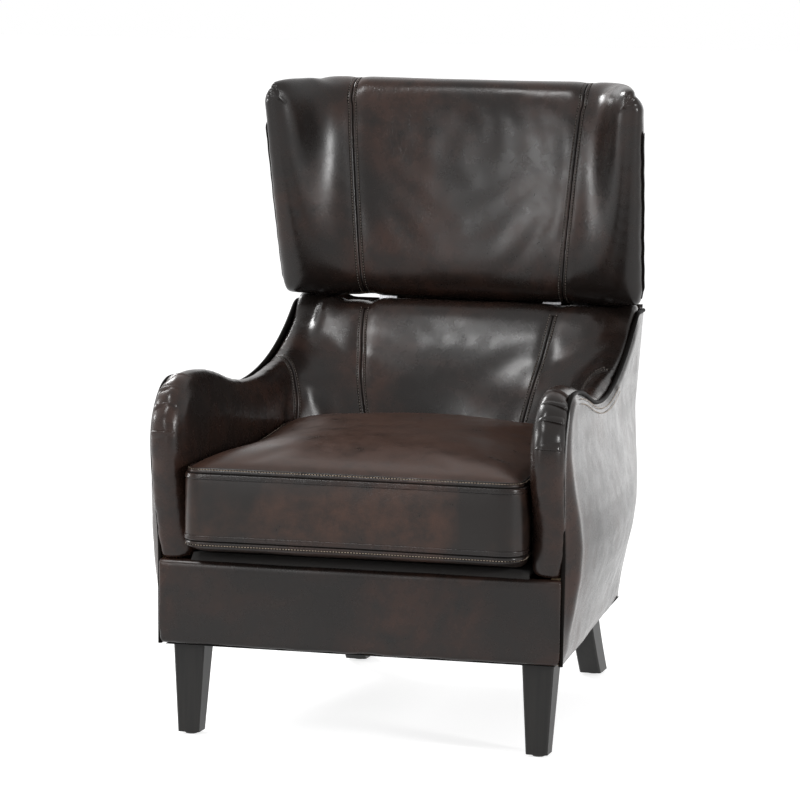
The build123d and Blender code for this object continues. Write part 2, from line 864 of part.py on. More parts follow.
def cushion_slice(z, inset):
    """Plan outline of the cushion at a height, moved inward by an inset."""
    corner_round = max(cushion_corner - cushion_corner_loss * inset, cushion_least_corner)
    front = inset - overall_depth / 2
    middle, corner = back_hollow(cushion_low + cushion_edge)
    rear_corner_y = corner - cushion_back_gap - inset
    rear_middle = back_hollow(back_low)[0] - cushion_back_gap - inset
    depth = wall_thickness + cushion_side_gap + inset
    front_half = side_x(front, z) - depth
    rear_half = side_x(rear_corner_y, z) - depth
    lean = (front_half - rear_half) / (rear_corner_y - front)
    clip = corner_round * (1 - math.sqrt(0.5))
    front_side = (front_half - lean * corner_round, front + corner_round)
    rear_side = (rear_half + lean * corner_round, rear_corner_y - corner_round)
    waist = ((front_half + rear_half) / 2 - cushion_pull_in, (front + rear_corner_y) / 2)
    front_end = (front_half - corner_round, front)
    rear_end = (rear_half - corner_round, rear_corner_y)
    right = [
        ThreePointArc(front_end, (front_half - clip, front + clip), front_side),
        ThreePointArc(front_side, waist, rear_side),
        ThreePointArc(rear_side, (rear_half - clip, rear_corner_y - clip / 2), rear_end),
    ]
    left = [mirror(edge, about=Plane.YZ) for edge in right]
    nose = ThreePointArc((-front_end[0], front), (0, front + cushion_pull_in), front_end)
    tail = ThreePointArc((-rear_end[0], rear_corner_y), (0, rear_middle), rear_end)
    return Pos(0, 0, z) * make_face([nose, *right, tail, *left])


def cushion_form(skin):
    low, high = cushion_low + skin, cushion_low + cushion_edge - skin
    levels = round_levels(low, high, cushion_low_round, cushion_top_round, 2)
    top_inset = levels[-1][1]
    for n in range(1, cushion_crown_steps):
        turn = math.pi / 2 * n / cushion_crown_steps
        inset = top_inset + cushion_spread * (1 - math.cos(turn))
        levels.append((high + cushion_crown * math.sin(turn), inset))
    return loft([cushion_slice(z, inset + skin) for z, inset in levels], ruled=True)


def shell(form):
    return form(0.0) - form(leather)


def upper_welt():
    """Piping beside the edge where the wing's cover meets its outside panel."""
    ends = []
    for z in (upper_low + upper_round, overall_height - 2 * upper_round):
        x, y = welt_corner(z)
        ends.append((x + welt_size / 2 + play, y, z))
    path = Line(*ends)
    return sweep((path ^ 0) * Circle(welt_size / 2), path=path)


# The nodes
nodes = {}


def keep(name, *solids):
    nodes[name] = solids


def keep_pair(name, part):
    right, left = both(part)
    keep(name + "_right", right)
    keep(name + "_left", left)
    return right, left


boards = keep_pair("side_board", side_board())
keep_pair("arm_pad", arm_pad(boards[0]))
keep_pair("arm_cover", arm_cover())
keep_pair("outside_arm_wadding", outside_wadding())
keep_pair("outside_arm_panel", outside_panel())
keep_pair("arm_welt", arm_welt())
keep("front_border_pad", border_form(leather + play, 0.0))
keep("front_border_cover", border_form(0.0, 0.0) - border_form(leather, leather))

keep("front_rail", front_rail())
keep("back_rail", back_rail())
keep("corner_blocks", *[corner_block(x, y) for x, y in leg_places])
keep("leg_inserts", *[leg_insert(x, y) for x, y in leg_places])
keep("leg_bolts", *[leg_bolt(x, y) for x, y in leg_places])
keep_pair("front_leg", front_leg())
keep_pair("rear_leg", rear_leg())
front_glide_y = front_leg_front + front_leg_foot / 2
rear_glide_y = overall_depth / 2 - rear_leg_foot / 2
glide_places = [
    (side * x, y)
    for x, y in ((front_leg_x, front_glide_y), (rear_leg_offset, rear_glide_y))
    for side in (1, -1)
]
keep("foot_glides", *[glide(x, y) for x, y in glide_places])

strand = zigzag_spring()
keep("seat_springs", *[Pos(x, 0, 0) * strand for x in spring_places])
keep(
    "spring_clips",
    *[spring_clip(x, spring_front, 1) for x in spring_places],
    *[spring_clip(x, spring_rear, -1) for x in spring_places],
)
keep("seat_deck", seat_deck())
keep("dust_cover", dust_cover())

post_right, post_left = back_posts()
keep("back_post_right", post_right)
keep("back_post_left", post_left)
keep("back_crossbar", drill(top_crossbar(), socket_screw_places, frame_front, socket_wall))
keep("lumbar_bar", lumbar_bar())
keep("back_straps", *back_straps())
keep("lower_back_pad", cut_lower_pockets(lower_back_form(leather + play, strap_front + play)))
keep(
    "lower_back_cover",
    cut_lower_pockets(lower_back_form(0.0, strap_front + play) - lower_back_form(leather, strap_front)),
)
keep("outside_back_panel", outside_back())

for name, side in (("right", 1), ("left", -1)):
    socket = drill(bracket_socket(side), socket_screw_places, frame_front, socket_wall)
    tongue = drill(bracket_tongue(side), tongue_screw_places, tongue_layer, tongue_thickness)
    keep("bracket_socket_" + name, socket)
    keep("bracket_tongue_" + name, tongue)
keep("socket_screws", *[screw(x, z, frame_front, socket_wall) for x, z in socket_screw_places])
keep("tongue_screws", *[screw(x, z, tongue_layer, tongue_thickness) for x, z in tongue_screw_places])

wing_boards = keep_pair("wing_board", wing_board(wing_board_thickness))
low_rail = drill(upper_rail(upper_frame_low), tongue_screw_places, tongue_layer, tongue_thickness)
keep("upper_low_rail", low_rail)
keep("upper_top_rail", upper_rail(upper_frame_high - upper_rail_height))
keep("upper_post_right", upper_post(1))
keep("upper_post_left", upper_post(-1))
keep("upper_back_pad", upper_pad(wing_boards))
upper_shell = cut_upper_pockets(shell(upper_form))
rear_region = upper_rear_region()
keep("upper_back_cover", upper_shell - rear_region)
keep("upper_outside_panel", upper_shell & rear_region)
keep_pair("upper_welt", upper_welt())

keep("seat_cushion_core", cushion_form(leather + play))
keep("seat_cushion_cover", shell(cushion_form))

for name, solids in nodes.items():
    pieces = [solid for part in solids for solid in part.solids()]
    whole = pieces[0] if len(pieces) == 1 else Compound(children=pieces)
    export_step(whole, f"parts/{name}.step")
    print(name, len(pieces), round(sum(p.volume for p in pieces)))
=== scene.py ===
"""Looks of an upholstered wing chair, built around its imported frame. Metres, +Z up, the chair faces -Y."""

import json
import math

import bpy
from mathutils import Matrix, Vector, noise
from mathutils.bvhtree import BVHTree


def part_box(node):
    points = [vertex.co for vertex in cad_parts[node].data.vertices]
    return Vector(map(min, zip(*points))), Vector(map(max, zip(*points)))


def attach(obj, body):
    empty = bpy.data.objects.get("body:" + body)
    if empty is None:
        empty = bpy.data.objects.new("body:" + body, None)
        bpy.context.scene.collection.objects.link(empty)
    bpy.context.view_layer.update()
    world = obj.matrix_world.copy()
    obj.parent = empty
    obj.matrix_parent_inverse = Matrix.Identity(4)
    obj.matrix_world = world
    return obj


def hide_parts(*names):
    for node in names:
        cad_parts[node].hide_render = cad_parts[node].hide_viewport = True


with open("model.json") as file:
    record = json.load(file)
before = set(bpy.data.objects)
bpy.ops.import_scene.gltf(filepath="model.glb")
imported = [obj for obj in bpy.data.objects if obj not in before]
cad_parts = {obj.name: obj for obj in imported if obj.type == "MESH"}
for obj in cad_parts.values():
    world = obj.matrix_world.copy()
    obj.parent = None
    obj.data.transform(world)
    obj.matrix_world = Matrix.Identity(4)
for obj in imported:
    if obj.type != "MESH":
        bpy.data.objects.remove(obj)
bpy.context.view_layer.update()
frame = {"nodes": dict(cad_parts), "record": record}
nodes = frame["nodes"]
sides = {"right": 1.0, "left": -1.0}

# Places read from the frame
base_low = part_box("front_border_cover")[0].z
base_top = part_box("front_border_cover")[1].z
front_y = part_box("front_border_cover")[0].y
lower_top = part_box("lower_back_cover")[1].z
upper_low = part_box("upper_back_cover")[0].z
upper_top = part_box("upper_back_cover")[1].z
cushion_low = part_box("seat_cushion_cover")[0].z

# Side walls of the seat base
front_half_low = 0.316
front_half_high = 0.320
rear_half_low = 0.258
rear_half_high = 0.288
wall_rear_y = 0.318

# Arm outline, seen from the side
arm_swell = 0.030
scroll_radius = 0.088
arm_crest = 0.552
arm_dip = 0.512
arm_dip_y = -0.030
swoop_end_y = 0.290
swoop_round = 0.040
scroll_y = front_y - arm_swell + scroll_radius
scroll_z = arm_crest - scroll_radius

# Upper back
seam_half_low = 0.168
seam_half_high = 0.196
wing_half_low = 0.304
wing_half_high = 0.318
wing_y_low = 0.259
wing_y_high = 0.159

# Seams, piping and thread
welt_radius = 0.0034
lap_half = 0.0100
lap_height = 0.0019
lap_groove = 0.0019
lap_groove_half = 0.0016
stitch_pitch = 0.0046
stitch_length = 0.0034
stitch_thickness = 0.0013
stitch_offset = 0.0058
double_row = (stitch_offset, -stitch_offset)
seam_draw_width = 0.012
leather_sheet = 0.002


def side_x(y, z):
    """Half width of the twisted side wall at a depth and a height."""
    rise = (z - base_low) / (lower_top - base_low)
    front = front_half_low + (front_half_high - front_half_low) * rise
    rear = rear_half_low + (rear_half_high - rear_half_low) * rise
    return front + (rear - front) * (y - front_y) / (wall_rear_y - front_y)


def between(value, low, high):
    """Share of the way from low to high, smooth at both ends, 0 below and 1 above."""
    share = min(max((value - low) / (high - low), 0.0), 1.0)
    return share * share * (3 - 2 * share)


def bump_at(value, centre, width):
    """Soft bump of height 1 round a centre."""
    return math.exp(-(((value - centre) / width) ** 2))


# Making and shaping pieces
def pick(*pieces):
    bpy.ops.object.select_all(action="DESELECT")
    for piece in pieces:
        piece.select_set(True)
    bpy.context.view_layer.objects.active = pieces[0]


def edit_all(piece):
    """Edit mode with the whole mesh selected."""
    pick(piece)
    bpy.ops.object.mode_set(mode="EDIT")
    bpy.ops.mesh.select_all(action="SELECT")


def leave_edit():
    bpy.ops.object.mode_set(mode="OBJECT")


def apply_modifier(piece, kind, **settings):
    """Add a modifier, set it and apply it."""
    pick(piece)
    modifier = piece.modifiers.new(kind.lower(), kind)
    for key, value in settings.items():
        setattr(modifier, key, value)
    bpy.ops.object.modifier_apply(modifier=modifier.name)
    return piece


def smooth(piece, rounds, **settings):
    """Average each point with its neighbours, some rounds over."""
    return apply_modifier(piece, "SMOOTH", factor=0.5, iterations=rounds, **settings)


def thicken(piece, thickness):
    """Give a sheet a thickness, inwards from its faces."""
    return apply_modifier(piece, "SOLIDIFY", thickness=thickness, offset=-1.0)


def join_all(name, pieces):
    pick(*pieces)
    if len(pieces) > 1:
        bpy.ops.object.join()
    pieces[0].name = name
    pieces[0].data.name = name
    return pieces[0]


def add_object(name, data):
    """New object in the scene."""
    made = bpy.data.objects.new(name, data)
    bpy.context.scene.collection.objects.link(made)
    return made


def twin(piece, name):
    return add_object(name, piece.data.copy())


def gather(name, *node_names):
    """One new piece holding copies of some CAD solids."""
    piece = join_all(name, [twin(nodes[n], name) for n in node_names])
    piece.data.materials.clear()
    edit_all(piece)
    bpy.ops.mesh.remove_doubles(threshold=0.00005)
    leave_edit()
    return piece


def skin_over(piece, voxel, rounds):
    """Merge the copied solids into one closed skin and round it off."""
    apply_modifier(piece, "REMESH", mode="VOXEL", voxel_size=voxel, use_smooth_shade=True)
    return smooth(piece, rounds)


def refine(piece):
    return apply_modifier(piece, "SUBSURF", levels=1, render_levels=1)


def move_points(piece, place):
    """Move each vertex to the place worked out from its position and normal."""
    normals = [v.normal.copy() for v in piece.data.vertices]
    for vertex, normal in zip(piece.data.vertices, normals):
        vertex.co = place(vertex.co.copy(), normal)
    piece.data.update()
    return piece


def weigh(piece, share):
    """Vertex group whose weights come from a function of the position."""
    group = piece.vertex_groups.new(name="share")
    for vertex in piece.data.vertices:
        weight = share(vertex.co)
        if weight > 0:
            group.add([vertex.index], weight, "REPLACE")
    return group.name


def soften(piece, share, rounds):
    """Smooth part of a piece."""
    smooth(piece, rounds, vertex_group=weigh(piece, share))
    piece.vertex_groups.clear()
    return piece


def fill_hollow(piece, share, rounds):
    """Smooth part of a piece, but keep only the moves that fill it out, and even those out a little."""
    rest = [(v.co.copy(), v.normal.copy()) for v in piece.data.vertices]
    soften(piece, share, rounds)
    for vertex, (start, normal) in zip(piece.data.vertices, rest):
        if (vertex.co - start).dot(normal) < 0:
            vertex.co = start
    return smooth(piece, 4)


def blow_up(piece, pressure, cap, held, frames=20, rounds=8):
    """Swell a padded piece by a cloth simulation, with some points held and every move capped."""
    rest = [v.co.copy() for v in piece.data.vertices]
    group = weigh(piece, held)
    pick(piece)
    cloth = piece.modifiers.new("cloth", "CLOTH")
    cloth.settings.quality = 4
    cloth.settings.mass = 0.3
    cloth.settings.tension_stiffness = 25
    cloth.settings.compression_stiffness = 25
    cloth.settings.bending_stiffness = 12
    cloth.settings.use_pressure = True
    cloth.settings.uniform_pressure_force = pressure
    cloth.settings.effector_weights.gravity = 0
    cloth.settings.vertex_group_mass = group
    cloth.collision_settings.use_collision = False
    cloth.point_cache.frame_start = 1
    cloth.point_cache.frame_end = frames
    for number in range(1, frames + 1):
        bpy.context.scene.frame_set(number)
    bpy.ops.object.modifier_apply(modifier=cloth.name)
    bpy.context.scene.frame_set(1)
    piece.vertex_groups.clear()
    for vertex, start in zip(piece.data.vertices, rest):
        step = vertex.co - start
        if step.length > cap:
            vertex.co = start + step * (cap / step.length)
    return smooth(piece, rounds)


def cut_away(piece, point, normal):
    """Cut a closed piece along a plane, remove what lies beyond it and close the cut."""
    edit_all(piece)
    bpy.ops.mesh.bisect(plane_co=point, plane_no=normal, use_fill=True, clear_outer=True)
    leave_edit()
    return piece


def lay_grid(name, columns, rows, place):
    """A grid whose points go where a function of their two shares says."""
    bpy.ops.object.select_all(action="DESELECT")
    bpy.ops.mesh.primitive_grid_add(x_subdivisions=columns, y_subdivisions=rows, size=2.0)
    piece = bpy.context.object
    piece.name = name
    piece.data.name = name

    def share(value):
        return min(max((value + 1) / 2, 0.0), 1.0)

    return move_points(piece, lambda co, normal: place(share(co.x), share(co.y)))


def face_outward(piece, inside):
    """Turn a sheet's faces so that they point away from a place inside the chair."""
    edit_all(piece)
    bpy.ops.mesh.normals_make_consistent(inside=False)
    leave_edit()
    middle = piece.data.polygons[len(piece.data.polygons) // 2]
    if (middle.center - inside).dot(middle.normal) < 0:
        edit_all(piece)
        bpy.ops.mesh.flip_normals()
        leave_edit()
    return piece


def dress(piece, body, material):
    """Ride on a body, take a finish and shade smooth."""
    pick(piece)
    bpy.ops.object.shade_smooth()
    piece.data.materials.clear()
    piece.data.materials.append(material)
    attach(piece, body)
    return piece


# Materials
def feed(tree, socket, value):
    """Link a socket to another, or set its value."""
    if isinstance(value, bpy.types.NodeSocket):
        tree.links.new(value, socket)
    else:
        socket.default_value = value


def wire(tree, kind, **inputs):
    """Add a shader node, with values or links for its inputs by name."""
    made = tree.nodes.new("ShaderNode" + kind)
    for key, value in inputs.items():
        feed(tree, made.inputs[key.replace("_", " ")], value)
    return made


def ramp(tree, factor, low, high):
    """Turn a factor into 0 below low and 1 above high, smoothly."""
    made = wire(tree, "MapRange", Value=factor, From_Min=low, From_Max=high)
    made.interpolation_type = "SMOOTHSTEP"
    return made.outputs["Result"]


def combine(tree, operation, *values, kind="Math"):
    """Result of a math node on values or sockets."""
    made = wire(tree, kind)
    made.operation = operation
    for socket, value in zip(made.inputs, values):
        feed(tree, socket, value)
    return made.outputs[0]


def blend_colours(tree, factor, first, second):
    made = wire(tree, "Mix")
    made.data_type = "RGBA"
    colour_sockets = [s for s in made.inputs if s.type == "RGBA"]
    tree.links.new(factor, made.inputs["Factor"])
    for socket, value in zip(colour_sockets, (first, second)):
        tree.links.new(value, socket)
    return [s for s in made.outputs if s.type == "RGBA"][0]


def new_group(name, inputs, outputs):
    """Empty node group, with the kinds of its sockets by label, and its two end nodes."""
    tree = bpy.data.node_groups.new(name, "ShaderNodeTree")
    for way, sockets in (("INPUT", inputs), ("OUTPUT", outputs)):
        for label, kind in sockets.items():
            tree.interface.new_socket(label, in_out=way, socket_type="NodeSocket" + kind)
    return tree, tree.nodes.new("NodeGroupInput"), tree.nodes.new("NodeGroupOutput")


def hide_group():
    """Two-tone rubbed hide: mottling, fine crackle in patches, pores and uneven shine. Upward faces can take
    the rub colour in patches too: partly seat wear, partly painted light on lit tops.
    """
    tree, inside, out = new_group(
        "rubbed_hide",
        {"Ground": "Color", "Rub": "Color", "Shine Low": "Float", "Shine High": "Float", "Wear And Top Light": "Float"},
        {"Color": "Color", "Roughness": "Float", "Relief": "Float"},
    )
    place = wire(tree, "TexCoord").outputs["Object"]
    broad = wire(tree, "TexNoise", Vector=place, Scale=4.2, Detail=6.0, Roughness=0.6,
                 Distortion=0.6)
    patchy = wire(tree, "TexNoise", Vector=place, Scale=24.0, Detail=7.0, Roughness=0.68)
    fine = wire(tree, "TexNoise", Vector=place, Scale=620.0, Detail=2.0)
    bent = wire(tree, "TexNoise", Vector=place, Scale=46.0, Detail=3.0)
    spread = combine(tree, "MULTIPLY_ADD", bent.outputs["Color"], (0.016, 0.016, 0.016), place,
                     kind="VectorMath")
    cells = wire(tree, "TexVoronoi", Vector=spread, Scale=130.0)
    cells.feature = "DISTANCE_TO_EDGE"
    rubbed = combine(tree, "MULTIPLY", ramp(tree, broad.outputs["Fac"], 0.40, 0.68),
                     ramp(tree, patchy.outputs["Fac"], 0.22, 0.70))
    cracked = combine(tree, "SUBTRACT", 1.0, ramp(tree, cells.outputs["Distance"], 0.0, 0.09))
    where = ramp(tree, broad.outputs["Fac"], 0.50, 0.66)
    crackle = combine(tree, "MULTIPLY", cracked, where)
    # Rub colour on upward-facing faces: partly seat wear, partly painted light on the lit top
    geometry = wire(tree, "NewGeometry")
    facing = wire(tree, "SeparateXYZ", Vector=geometry.outputs["Normal"])
    wear_and_top_light_share = combine(tree, "MULTIPLY", ramp(tree, facing.outputs["Z"], 0.5, 0.95), inside.outputs["Wear And Top Light"])
    wear_and_top_light_share = combine(tree, "MULTIPLY", wear_and_top_light_share, ramp(tree, patchy.outputs["Fac"], 0.1, 0.6))
    rubbed = combine(tree, "MAXIMUM", rubbed, wear_and_top_light_share)
    colour = blend_colours(tree, rubbed, inside.outputs["Ground"], inside.outputs["Rub"])
    tree.links.new(colour, out.inputs["Color"])
    shine = wire(tree, "MapRange", Value=patchy.outputs["Fac"], From_Min=0.3, From_Max=0.7,
                 To_Min=inside.outputs["Shine Low"], To_Max=inside.outputs["Shine High"])
    tree.links.new(shine.outputs["Result"], out.inputs["Roughness"])
    pores = combine(tree, "MULTIPLY", fine.outputs["Fac"], 0.35)
    swell = combine(tree, "MULTIPLY", patchy.outputs["Fac"], 0.5)
    relief = combine(tree, "SUBTRACT", combine(tree, "ADD", pores, swell),
                     combine(tree, "MULTIPLY", crackle, 0.22))
    tree.links.new(relief, out.inputs["Relief"])
    return tree


rubbed_hide = hide_group()


def shaded(name):
    """New material with its node tree and its Principled shader."""
    material = bpy.data.materials.new(name)
    material.use_nodes = True
    return material, material.node_tree, material.node_tree.nodes["Principled BSDF"]


def patterned(name, pattern, values, relief, strength, depth, gloss):
    """Material coloured and embossed by a node group, with values for the group's inputs by label."""
    material, tree, shader = shaded(name)
    group = wire(tree, "Group")
    group.node_tree = pattern
    for label, value in values.items():
        group.inputs[label].default_value = value
    bump = wire(tree, "Bump", Height=group.outputs[relief], Strength=strength, Distance=depth)
    tree.links.new(group.outputs["Color"], shader.inputs["Base Color"])
    tree.links.new(bump.outputs["Normal"], shader.inputs["Normal"])
    shader.inputs["Specular IOR Level"].default_value = gloss
    return material, tree, shader, group


def hide_material(name, ground, rub, shine_low, shine_high, depth, gloss, wear_and_top_light=0.0):
    values = {"Ground": (*ground, 1), "Rub": (*rub, 1), "Shine Low": shine_low, "Shine High": shine_high,
              "Wear And Top Light": wear_and_top_light}
    material, tree, shader, group = patterned(name, rubbed_hide, values, "Relief", 0.5, depth, gloss)
    tree.links.new(group.outputs["Roughness"], shader.inputs["Roughness"])
    return material


def grain_group():
    """Streaks along one axis for wood, threads for cloth, brushing for metal."""
    tree, inside, out = new_group(
        "streaks",
        {"Across": "Float", "Along": "Float", "Dark": "Color", "Pale": "Color"},
        {"Color": "Color", "Streak": "Float"},
    )
    place = wire(tree, "TexCoord").outputs["Object"]
    across = inside.outputs["Across"]
    stretch = wire(tree, "CombineXYZ", X=across, Y=across, Z=inside.outputs["Along"])
    scaled = combine(tree, "MULTIPLY", place, stretch.outputs["Vector"], kind="VectorMath")
    streak = wire(tree, "TexNoise", Vector=scaled, Scale=1.0, Detail=6.0, Roughness=0.6)
    colour = blend_colours(tree, ramp(tree, streak.outputs["Fac"], 0.3, 0.7),
                           inside.outputs["Dark"], inside.outputs["Pale"])
    tree.links.new(colour, out.inputs["Color"])
    tree.links.new(streak.outputs["Fac"], out.inputs["Streak"])
    return tree


streaks = grain_group()


def grained_material(name, across, along, dark, pale, roughness, depth, metallic=0.0, gloss=0.5):
    values = {"Across": across, "Along": along, "Dark": (*dark, 1), "Pale": (*pale, 1)}
    material, tree, shader, group = patterned(name, streaks, values, "Streak", 0.4, depth, gloss)
    shader.inputs["Roughness"].default_value = roughness
    shader.inputs["Metallic"].default_value = metallic
    return material


hide = hide_material("espresso_hide", (0.0085, 0.0064, 0.0056), (0.036, 0.0160, 0.0105),
                     0.21, 0.33, depth=0.0005, gloss=0.30)
# The cushion's copy of the hide has a lighter, redder rub and rub on upward faces: partly worn leather,
# partly painted light for the lit top of the cushion
seat_hide_worn_and_lit = hide_material("seat_hide_worn_and_lit", (0.0090, 0.0066, 0.0056), (0.052, 0.0245, 0.0160),
                          0.26, 0.38, depth=0.0005, gloss=0.30, wear_and_top_light=0.8)
# Near-black piping: partly the welt's own leather, partly painted shade for the shadow gaps beside the cord.
# The same finish colours the seams' painted shade strips.
piping = hide_material("piping_and_shade_hide", (0.004, 0.0035, 0.0032), (0.008, 0.006, 0.005),
                       0.50, 0.60, depth=0.0003, gloss=0.03)
tan_thread = grained_material("tan_thread", 900.0, 900.0, (0.26, 0.20, 0.15), (0.42, 0.34, 0.26),
                              0.6, depth=0.0002)
brown_thread = grained_material("brown_thread", 900.0, 900.0, (0.09, 0.074, 0.062), (0.17, 0.14, 0.12),
                                0.6, depth=0.0002)
leg_wood = grained_material("ebony_stain", 160.0, 7.0, (0.0060, 0.0056, 0.0052), (0.011, 0.010, 0.009),
                            0.46, depth=0.0004, gloss=0.3)
frame_wood = grained_material("bare_frame_wood", 130.0, 8.0, (0.40, 0.27, 0.15), (0.58, 0.42, 0.26),
                              0.6, depth=0.0004)
black_cloth = grained_material("dust_cloth", 500.0, 500.0, (0.010, 0.010, 0.010), (0.022, 0.022, 0.022),
                               0.9, depth=0.0006)
# Near-black deck cloth: partly the deck's own cloth, partly painted shade for the gap under the cushion's
# front
deck_cloth_and_shade = grained_material("deck_cloth_and_shade", 700.0, 700.0, (0.004, 0.0035, 0.003), (0.010, 0.008, 0.007),
                              0.9, depth=0.0006)
webbing = grained_material("elastic_webbing", 420.0, 420.0, (0.02, 0.02, 0.02), (0.05, 0.05, 0.05),
                           0.8, depth=0.0005)
foam = grained_material("pale_foam", 300.0, 300.0, (0.70, 0.66, 0.56), (0.82, 0.79, 0.70), 0.9, depth=0.0008)
steel = grained_material("zinc_steel", 700.0, 30.0, (0.40, 0.40, 0.41), (0.60, 0.60, 0.62),
                         0.34, depth=0.0001, metallic=1.0)
glide_plastic = grained_material("glide_plastic", 260.0, 260.0, (0.05, 0.048, 0.045), (0.09, 0.085, 0.08),
                                 0.5, depth=0.0003)

node_finish = {
    "leather": hide, "welt": piping, "leg_wood": leg_wood, "frame_wood": frame_wood, "foam": foam,
    "webbing": webbing, "dust_cloth": black_cloth, "steel": steel, "glide_plastic": glide_plastic,
}
for row in frame["record"]["subparts"]:
    solid = nodes[row["node"]]
    solid.data.materials.clear()
    solid.data.materials.append(node_finish[row["material_slot"]])


# Laying seams, piping and thread on a padded piece
def surface_of(piece):
    """Search tree of a finished piece's faces."""
    return BVHTree.FromPolygons(
        [v.co for v in piece.data.vertices],
        [tuple(f.vertices) for f in piece.data.polygons],
    )


def cast_path(tree, rays):
    """Points and normals where rays meet a surface; rays that miss are left out."""
    path = []
    for start, direction in rays:
        point, normal, _, _ = tree.ray_cast(start, direction)
        if point is not None:
            path.append((point, normal if normal.dot(direction) < 0 else -normal))
    return path


def smooth_path(path, closed):
    """Average each point and normal with its neighbours."""
    last = len(path) - 1
    result = []
    for n, (point, normal) in enumerate(path):
        if not closed and n in (0, last):
            result.append((point, normal))
            continue
        before, after = path[n - 1], path[(n + 1) % len(path)]
        result.append(((before[0] + 2 * point + after[0]) / 4,
                       (before[1] + 2 * normal + after[1]).normalized()))
    return result


def run_lengths(points):
    """Length of a polyline up to each of its points."""
    lengths = [0.0]
    for first, second in zip(points, points[1:]):
        lengths.append(lengths[-1] + (second - first).length)
    return lengths


def even_path(path, step, closed=False):
    """The path resampled at an even step, with its points and normals smoothed."""
    if closed:
        path = [*path, path[0]]
    lengths = run_lengths([point for point, _ in path])
    count = max(int(lengths[-1] / step), 3)
    result = []
    index = 0
    for n in range(count + (0 if closed else 1)):
        want = lengths[-1] * n / count
        while index < len(lengths) - 2 and lengths[index + 1] < want:
            index += 1
        share = (want - lengths[index]) / max(lengths[index + 1] - lengths[index], 1e-9)
        first, second = path[index], path[index + 1]
        result.append((first[0].lerp(second[0], share), first[1].lerp(second[1], share).normalized()))
    return smooth_path(smooth_path(result, closed), closed)


def path_frames(path, closed=False):
    """Point, normal, tangent and sideways direction along a path."""
    last = len(path) - 1
    frames = []
    for n, (point, normal) in enumerate(path):
        before = path[n - 1][0] if closed or n > 0 else point
        after = path[(n + 1) % len(path)][0] if closed or n < last else point
        tangent = (after - before).normalized()
        side = normal.cross(tangent).normalized()
        frames.append((point, tangent.cross(side), tangent, side))
    return frames


def sweep(name, path, around, section, closed=False):
    """Wrap a grid round a section and along a path, and close it into a solid strip."""
    frames = path_frames(path, closed)
    spans = len(frames) if closed else len(frames) - 1

    def place(along, turn):
        point, up, _, side = frames[round(along * spans) % len(frames)]
        across, above = section(turn, along)
        return point + side * across + up * above

    strip = lay_grid(name, spans, around, place)
    edit_all(strip)
    bpy.ops.mesh.remove_doubles(threshold=0.000002)
    bpy.ops.mesh.fill_holes(sides=0)
    bpy.ops.mesh.select_all(action="SELECT")
    bpy.ops.mesh.normals_make_consistent(inside=False)
    leave_edit()
    return strip


lap_over = 0.9
lap_under = 0.1
lap_buried = -0.004


def lap_section(turn, along):
    """Double-stitched lapped seam: a low ridge with a groove along its middle, on a buried base."""
    if turn > lap_over:
        return lap_half * (1 - 2 * (turn - lap_over) / lap_under), lap_buried
    across = lap_half * (2 * turn / lap_over - 1)
    ridge = lap_height * (1 - (across / lap_half) ** 4)
    thread = 0.0006 * bump_at(abs(across), stitch_offset, 0.0010)
    groove = lap_groove * bump_at(across, 0.0, lap_groove_half)
    return across, ridge - groove - thread - 0.0003 - 0.0037 * (turn == 0)


def shade_line_section(turn, along):
    """Thin flat dark strip, half sunk: painted shade along a seam's groove and its stitch rows."""
    return 0.0014 * math.cos(math.tau * turn), 0.0004 * math.sin(math.tau * turn)


def cord_section(turn, along):
    return welt_radius * math.cos(math.tau * turn), welt_radius * math.sin(math.tau * turn)


tuck_height = 0.0036
tuck_width = 0.015


def tuck_section(turn, along):
    """Tuck: a soft swell that ends in a fold, fading towards the tuck's inner end."""
    height = tuck_height * (1 - along ** 2.5) * between(along, -0.06, 0.14) + 0.0001
    width = tuck_width * (1 - 0.5 * along)
    if turn < 0.7:
        share = turn / 0.7
        return -width * (1 - share), height * math.sin(share * math.pi * 0.56) - 0.0012 * (1 - share)
    share = min((turn - 0.7) / 0.3, 1.0)
    swing = math.sin(share * math.pi)
    above = height * (1 - share) ** 1.4 - 0.0012 * share - 0.003 * swing * share
    return 0.0016 * swing - width * max(share - 0.6, 0.0) / 0.4, above


def make_stitch():
    """One stitch lying along Z, copied for every row of thread."""
    bpy.ops.object.select_all(action="DESELECT")
    bpy.ops.mesh.primitive_uv_sphere_add(segments=6, ring_count=4, radius=0.5)
    stitch = bpy.context.object
    stitch.name = "stitch"
    edit_all(stitch)
    bpy.ops.transform.resize(value=(stitch_thickness, stitch_thickness, stitch_length))
    leave_edit()
    return stitch


stitch = make_stitch()


def stitch_row(name, paths, offset, closed=False):
    """Rows of single stitches along paths, moved sideways by an offset."""
    copies = []
    for path in paths:
        for point, up, tangent, side in path_frames(even_path(path, stitch_pitch, closed), closed):
            turned = Matrix((side, up, tangent)).transposed().to_4x4()
            copy = twin(stitch, name)
            copy.data.transform(Matrix.Translation(point + side * offset + up * lap_height * 0.72) @ turned)
            copies.append(copy)
    return join_all(name, copies)


def beside(path, offset, height, closed):
    """A path moved sideways and up from the one it follows."""
    return [(point + side * offset + up * height, up) for point, up, _, side in path_frames(path, closed)]


